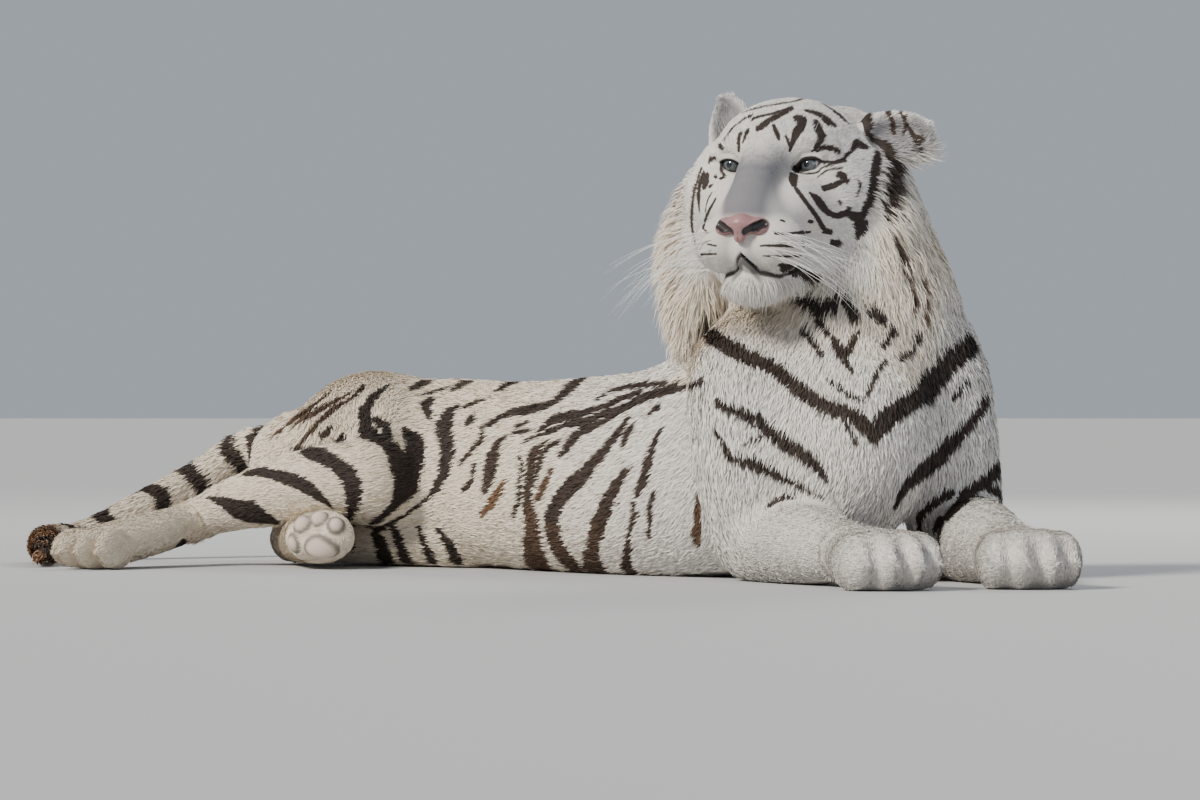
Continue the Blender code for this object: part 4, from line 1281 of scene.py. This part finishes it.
class Material:
    """A Principled material whose inputs are set by name."""

    def __init__(self, name, **uniform):
        self.data = bpy.data.materials.new(name)
        self.data.use_nodes = True
        self.tree = self.data.node_tree
        self.shader = self.tree.nodes["Principled BSDF"]
        for key, value in uniform.items():
            self.set(key.replace("_", " "), value)

    def put(self, socket, value):
        if isinstance(value, Number):
            self.tree.links.new(value.socket, socket)
        elif isinstance(value, tuple) and len(value) == 3 and socket.type == "RGBA":
            socket.default_value = (*value, 1)
        else:
            socket.default_value = value

    def set(self, name, value):
        self.put(self.shader.inputs[name], value)

    def node(self, kind, settings, *values, output=0, **named):
        """A node with its settings made first, then its sockets filled in order or by name."""
        node = self.tree.nodes.new(kind)
        for key, value in settings.items():
            setattr(node, key, value)
        for socket, value in zip(node.inputs, values):
            self.put(socket, value)
        for key, value in named.items():
            self.put(node.inputs[key], value)
        return Number(self, node.outputs[output])

    def value(self, name):
        return self.node("ShaderNodeAttribute", {"attribute_name": name}, output=2)

    def noise(self, scale, detail=2.0):
        place = self.node("ShaderNodeTexCoord", {}, output=3)
        return self.node("ShaderNodeTexNoise", {}, Vector=place, Scale=scale, Detail=detail)

    def bump(self, height, strength, distance):
        bumped = self.node("ShaderNodeBump", {}, Strength=strength, Distance=distance, Height=height)
        self.set("Normal", bumped)

    def mix(self, share, one, two):
        node = self.tree.nodes.new("ShaderNodeMix")
        node.data_type = "RGBA"
        for socket, value in zip((node.inputs[0], node.inputs[6], node.inputs[7]), (share, one, two)):
            self.put(socket, value)
        return Number(self, node.outputs[2])


WARM_WHITE, CREAM = (0.86, 0.83, 0.78), (0.79, 0.68, 0.52)
PAINTED_ROOT_SHADE, GREY_AND_SHADE = (0.58, 0.54, 0.5), (0.145, 0.145, 0.162)
TAN, PAD_PINK = (0.33, 0.17, 0.08), (0.64, 0.52, 0.44)
NEAR_BLACK, BROWN, RUST = (0.042, 0.033, 0.029), (0.105, 0.062, 0.038), (0.19, 0.105, 0.058)
PINK, DARK_SKIN_AND_SHADE = (0.36, 0.195, 0.19), (0.03, 0.022, 0.022)


def coat_colour(material):
    """White to cream hair, with painted shade that darkens it towards its root, crossed by the marks."""
    tone, rust = material.value("tone"), material.value("rust")
    # tone mixes each tuft's random tone with the painted shade at its root
    pale = material.mix(tone.step(-1.6, 1.2), PAINTED_ROOT_SHADE, WARM_WHITE)
    pale = material.mix(material.value("cream") * 0.75, pale, CREAM)
    # the bridge's grey with its painted shade, and the painted shade of the ears' cups
    pale = material.mix(material.value("grey_and_shade") * 0.9, pale, GREY_AND_SHADE)
    pale = material.mix(material.value("tan") * 0.9, pale, TAN)
    dark = material.mix(rust ** 2, NEAR_BLACK, RUST)
    dark = material.mix(tone.step(-0.5, 2.2) * 0.35, dark, BROWN)
    ragged = material.value("mark") + (material.noise(160) - 0.5) * 0.002
    return material.mix(ragged.step(-0.0006, 0.001), pale, dark)


fur = Material("coat", Roughness=0.72, Specular_IOR_Level=0.18)
fur.set("Base Color", coat_colour(fur))

hide = Material("skin", Roughness=0.75, Specular_IOR_Level=0.2)
colour = hide.mix(hide.value("pink"), coat_colour(hide), PAD_PINK)
# dark skin of the rims and lips, with painted shade in the nostrils and the pads' creases
colour = hide.mix(hide.value("dark"), colour, DARK_SKIN_AND_SHADE)
hide.set("Base Color", colour)
hide.bump(hide.noise(420, 3.0), 0.35, 0.002)

leather = Material("nose_leather", Roughness=0.42)
speckle = leather.noise(300, 3.0)
pinkish = leather.mix(speckle.step(0.35, 0.75) * 0.35, PINK, (0.2, 0.115, 0.115))
# the nostrils are painted dark as shade
leather.set("Base Color", leather.mix(leather.value("dark"), pinkish, DARK_SKIN_AND_SHADE))
leather.bump(speckle, 0.4, 0.0012)

iris = Material("eye", Roughness=0.06, Coat_Weight=1.0, Coat_Roughness=0.02)
off = iris.value("off_axis")
fibres = iris.noise(900, 2.0)
# the iris's grey-blue, made darker by painted shade of the brows
shaded_iris = iris.mix(fibres.step(0.35, 0.65), (0.038, 0.046, 0.052), (0.1, 0.118, 0.126))
shaded_iris = iris.mix(off.step(0.0055, 0.0035) * 0.6, shaded_iris, (0.12, 0.13, 0.115))
ringed = iris.mix(off.step(0.0098, 0.0118), shaded_iris, (0.03, 0.03, 0.035))
ringed = iris.mix(off.step(0.0124, 0.014), ringed, (0.36, 0.33, 0.32))
iris.set("Base Color", iris.mix(off.step(0.0046, 0.004), ringed, (0.004, 0.004, 0.005)))

whisker_white = Material("whisker", Roughness=0.4, Base_Color=(0.85, 0.84, 0.8))


# ---------------------------------------------------------------- eyes, whiskers, nose
CORNEA = (0.0125, 0.0016)  # its radius and how far it bulges
EYE_TURNS, EYE_RINGS = 64, 40
HAIR_PARTS, THIRDS = 7, (0, 2.094, 4.189)  # a whisker's lengths, and the angles of its three sides


def show(obj, material, slot, *stands_for):
    """Gives a piece its material and its body, and hides the nodes that it stands for; the slot is not used.
    """
    obj.data.materials.append(material.data)
    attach(obj, "root")
    if stands_for:
        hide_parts(*stands_for)


def make_eye(side):
    """A ball with a bulging cornea that looks along the gaze."""
    sign = 1 if side == "left" else -1
    gaze = unit(np.array([0.02 * sign - 0.12, -1, 0.02]) @ HEAD_AXES)
    right = unit(np.cross(gaze, UP))
    top = np.cross(right, gaze)
    points = [gaze * EYE_RADIUS]
    for a in np.linspace(0.03, math.pi - 0.03, EYE_RINGS):
        for b in (2 * math.pi * k / EYE_TURNS for k in range(EYE_TURNS)):
            out = (right * math.cos(b) + top * math.sin(b)) * math.sin(a)
            points.append(EYE_RADIUS * (gaze * math.cos(a) + out))
    points.append(-gaze * EYE_RADIUS)
    points = np.array(points)
    off = np.linalg.norm(points - (points @ gaze)[:, None] * gaze, axis=1)
    off[points @ gaze < 0] = EYE_RADIUS
    points += gaze * (CORNEA[1] * np.clip(1 - (off / CORNEA[0]) ** 2, 0, 1))[:, None]
    ring = [(1 + k, 1 + (k + 1) % EYE_TURNS) for k in range(EYE_TURNS)]
    faces = [(0, a, b) for a, b in ring]
    for row in range(0, (EYE_RINGS - 1) * EYE_TURNS, EYE_TURNS):
        for a, b in np.array(ring) + row:
            faces += [(a, a + EYE_TURNS, b + EYE_TURNS), (a, b + EYE_TURNS, b)]
    start = (EYE_RINGS - 1) * EYE_TURNS
    faces += [(len(points) - 1, start + b, start + a) for a, b in ring]
    eye = mesh_of("eye_" + side + "_ball", points + EYES[side], np.array(faces)[:, ::-1])
    add_values(eye.data, off_axis=off)
    show(eye, iris, "eye", "eye_" + side)


def nose_piece():
    """The nose leather, parted from the skin along the edge of its bare faces."""
    mine = skin_values["bare"][skin_tris].mean(1) > 0.5
    used, index = np.unique(skin_tris[mine], return_inverse=True)
    nose = mesh_of("nose_pad", skin_points[used], index.reshape(-1, 3))
    add_values(nose.data, dark=skin_values["dark"][used])
    show(nose, leather, "nose_leather", "nose")
    bm = bmesh.new()
    bm.from_mesh(skin.data)
    bm.faces.ensure_lookup_table()
    bmesh.ops.delete(bm, geom=[bm.faces[i] for i in np.flatnonzero(mine)], context="FACES_ONLY")
    bm.to_mesh(skin.data)
    bm.free()


def hair_tube(start, way, droop, length, radius):
    """A fine tapered hair of three sides, bending towards droop."""
    rows = []
    for k in range(HAIR_PARTS + 1):
        t = k / HAIR_PARTS
        centre = start + way * length * t + droop * length * t * t
        ahead = unit(way + 2 * droop * t)
        side = unit(np.cross(ahead, UP))
        top = np.cross(side, ahead)
        size = radius * (1 - 0.85 * t)
        rows.append([centre + size * (side * math.cos(a) + top * math.sin(a)) for a in THIRDS])
    faces = []
    for k in range(HAIR_PARTS):
        for j in range(3):
            a, b = 3 * k + j, 3 * k + (j + 1) % 3
            faces += [(a, b, b + 3), (a, b + 3, a + 3)]
    end = 3 * HAIR_PARTS
    faces += [(2, 1, 0), (end, end + 1, end + 2)]
    return np.array(rows).reshape(-1, 3), np.array(faces)


def face_place(x, z):
    """The place of the face's skin straight ahead of a place in the head's own axes, if there is one."""
    ahead = from_head((x, -0.2, z))
    return skin_tree.ray_cast(Vector(ahead), Vector(np.array([0, 1, 0]) @ HEAD_AXES))[0]


def make_whiskers():
    """Four rows of whiskers on each pad, and three hairs over each eye."""
    hairs = []
    for side in (1, -1):
        for z, number in ((-0.1, 6), (-0.113, 7), (-0.126, 7), (-0.137, 5)):
            for k in range(number):
                start = face_place(side * (0.044 + 0.0062 * k), z - 0.001 * k)
                if start is not None:
                    way = (side * rng.uniform(0.75, 1.0), rng.uniform(-0.25, 0.25), rng.uniform(-0.45, 0.0))
                    droop = (0, 0.12, rng.uniform(-0.5, -0.2))
                    hairs.append((start, way, droop, rng.uniform(0.09, 0.17), 0.00068))
        for k in range(3):
            start = face_place(side * (0.052 + 0.007 * k), 0.034 - 0.002 * k)
            if start is not None:
                hairs.append((start, (side * 0.35, -0.5, 0.8 + 0.1 * k), (0, 0.5, -0.1), 0.055, 0.0004))
    points, faces, count = [], [], 0
    for start, way, droop, length, radius in hairs:
        p, f = hair_tube(np.array(start), unit(way) @ HEAD_AXES, np.array(droop) @ HEAD_AXES, length, radius)
        points.append(p)
        faces.append(f + count)
        count += len(p)
    show(mesh_of("whiskers", np.concatenate(points), np.concatenate(faces)), whisker_white, "coat")


nose_piece()
for side in EYES:
    make_eye(side)
make_whiskers()
show(skin, hide, "coat", *[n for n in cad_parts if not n.startswith(("eye", "nose"))])
for piece in coat_pieces:
    show(piece, fur, "coat")

# ---------------------------------------------------------------- room, light and camera
plaster = Material("studio_floor", Roughness=0.9, Base_Color=(0.5, 0.5, 0.5))
corners = np.array([(-30, -30, 0), (30, -30, 0), (30, 30, 0), (-30, 30, 0)], float)
room = mesh_of("studio_floor", corners, np.array([(0, 1, 2, 3)]))
room.data.materials.append(plaster.data)


def placed(name, data):
    """An object of the scene that holds a light or a camera."""
    obj = bpy.data.objects.new(name, data)
    bpy.context.scene.collection.objects.link(obj)
    return obj


def turned_along(way):
    return Vector(way).to_track_quat("-Z", "Y").to_euler()


def area_light(name, place, target, size, power, colour):
    light = bpy.data.lights.new(name, "AREA")
    light.energy, light.size, light.color = power, size, colour
    lamp = placed(name, light)
    lamp.location = place
    lamp.rotation_euler = turned_along(Vector(target) - Vector(place))


sun = bpy.data.lights.new("key", "SUN")
sun.energy, sun.angle, sun.color = 4.3, math.radians(14), (1.0, 0.95, 0.87)
placed("key", sun).rotation_euler = turned_along((3.3, 3.0, -3.3))
area_light("fill", (4.0, -5.0, 1.8), (0.3, 0, 0.4), 3.0, 50, (0.8, 0.88, 1.0))
area_light("rim", (1.8, 4.0, 3.0), (0.1, 0.2, 0.4), 1.6, 90, (1.0, 0.97, 0.92))
world = bpy.data.worlds.new("studio")
world.use_nodes = True
sky = world.node_tree.nodes["Background"].inputs
sky["Color"].default_value, sky["Strength"].default_value = (0.6, 0.66, 0.74, 1), 0.62
bpy.context.scene.world = world

CAMERA_DIP = 0.28  # degrees below level
lens = bpy.data.cameras.new("camera")
lens.lens, lens.sensor_width = 183.6, 36
camera = placed("camera", lens)
camera.location = VISITOR * (1, 1, 0) + (0, 0, EYE_LEVEL)
camera.rotation_euler = (math.radians(90 - CAMERA_DIP), 0, 0)
bpy.context.scene.camera = camera
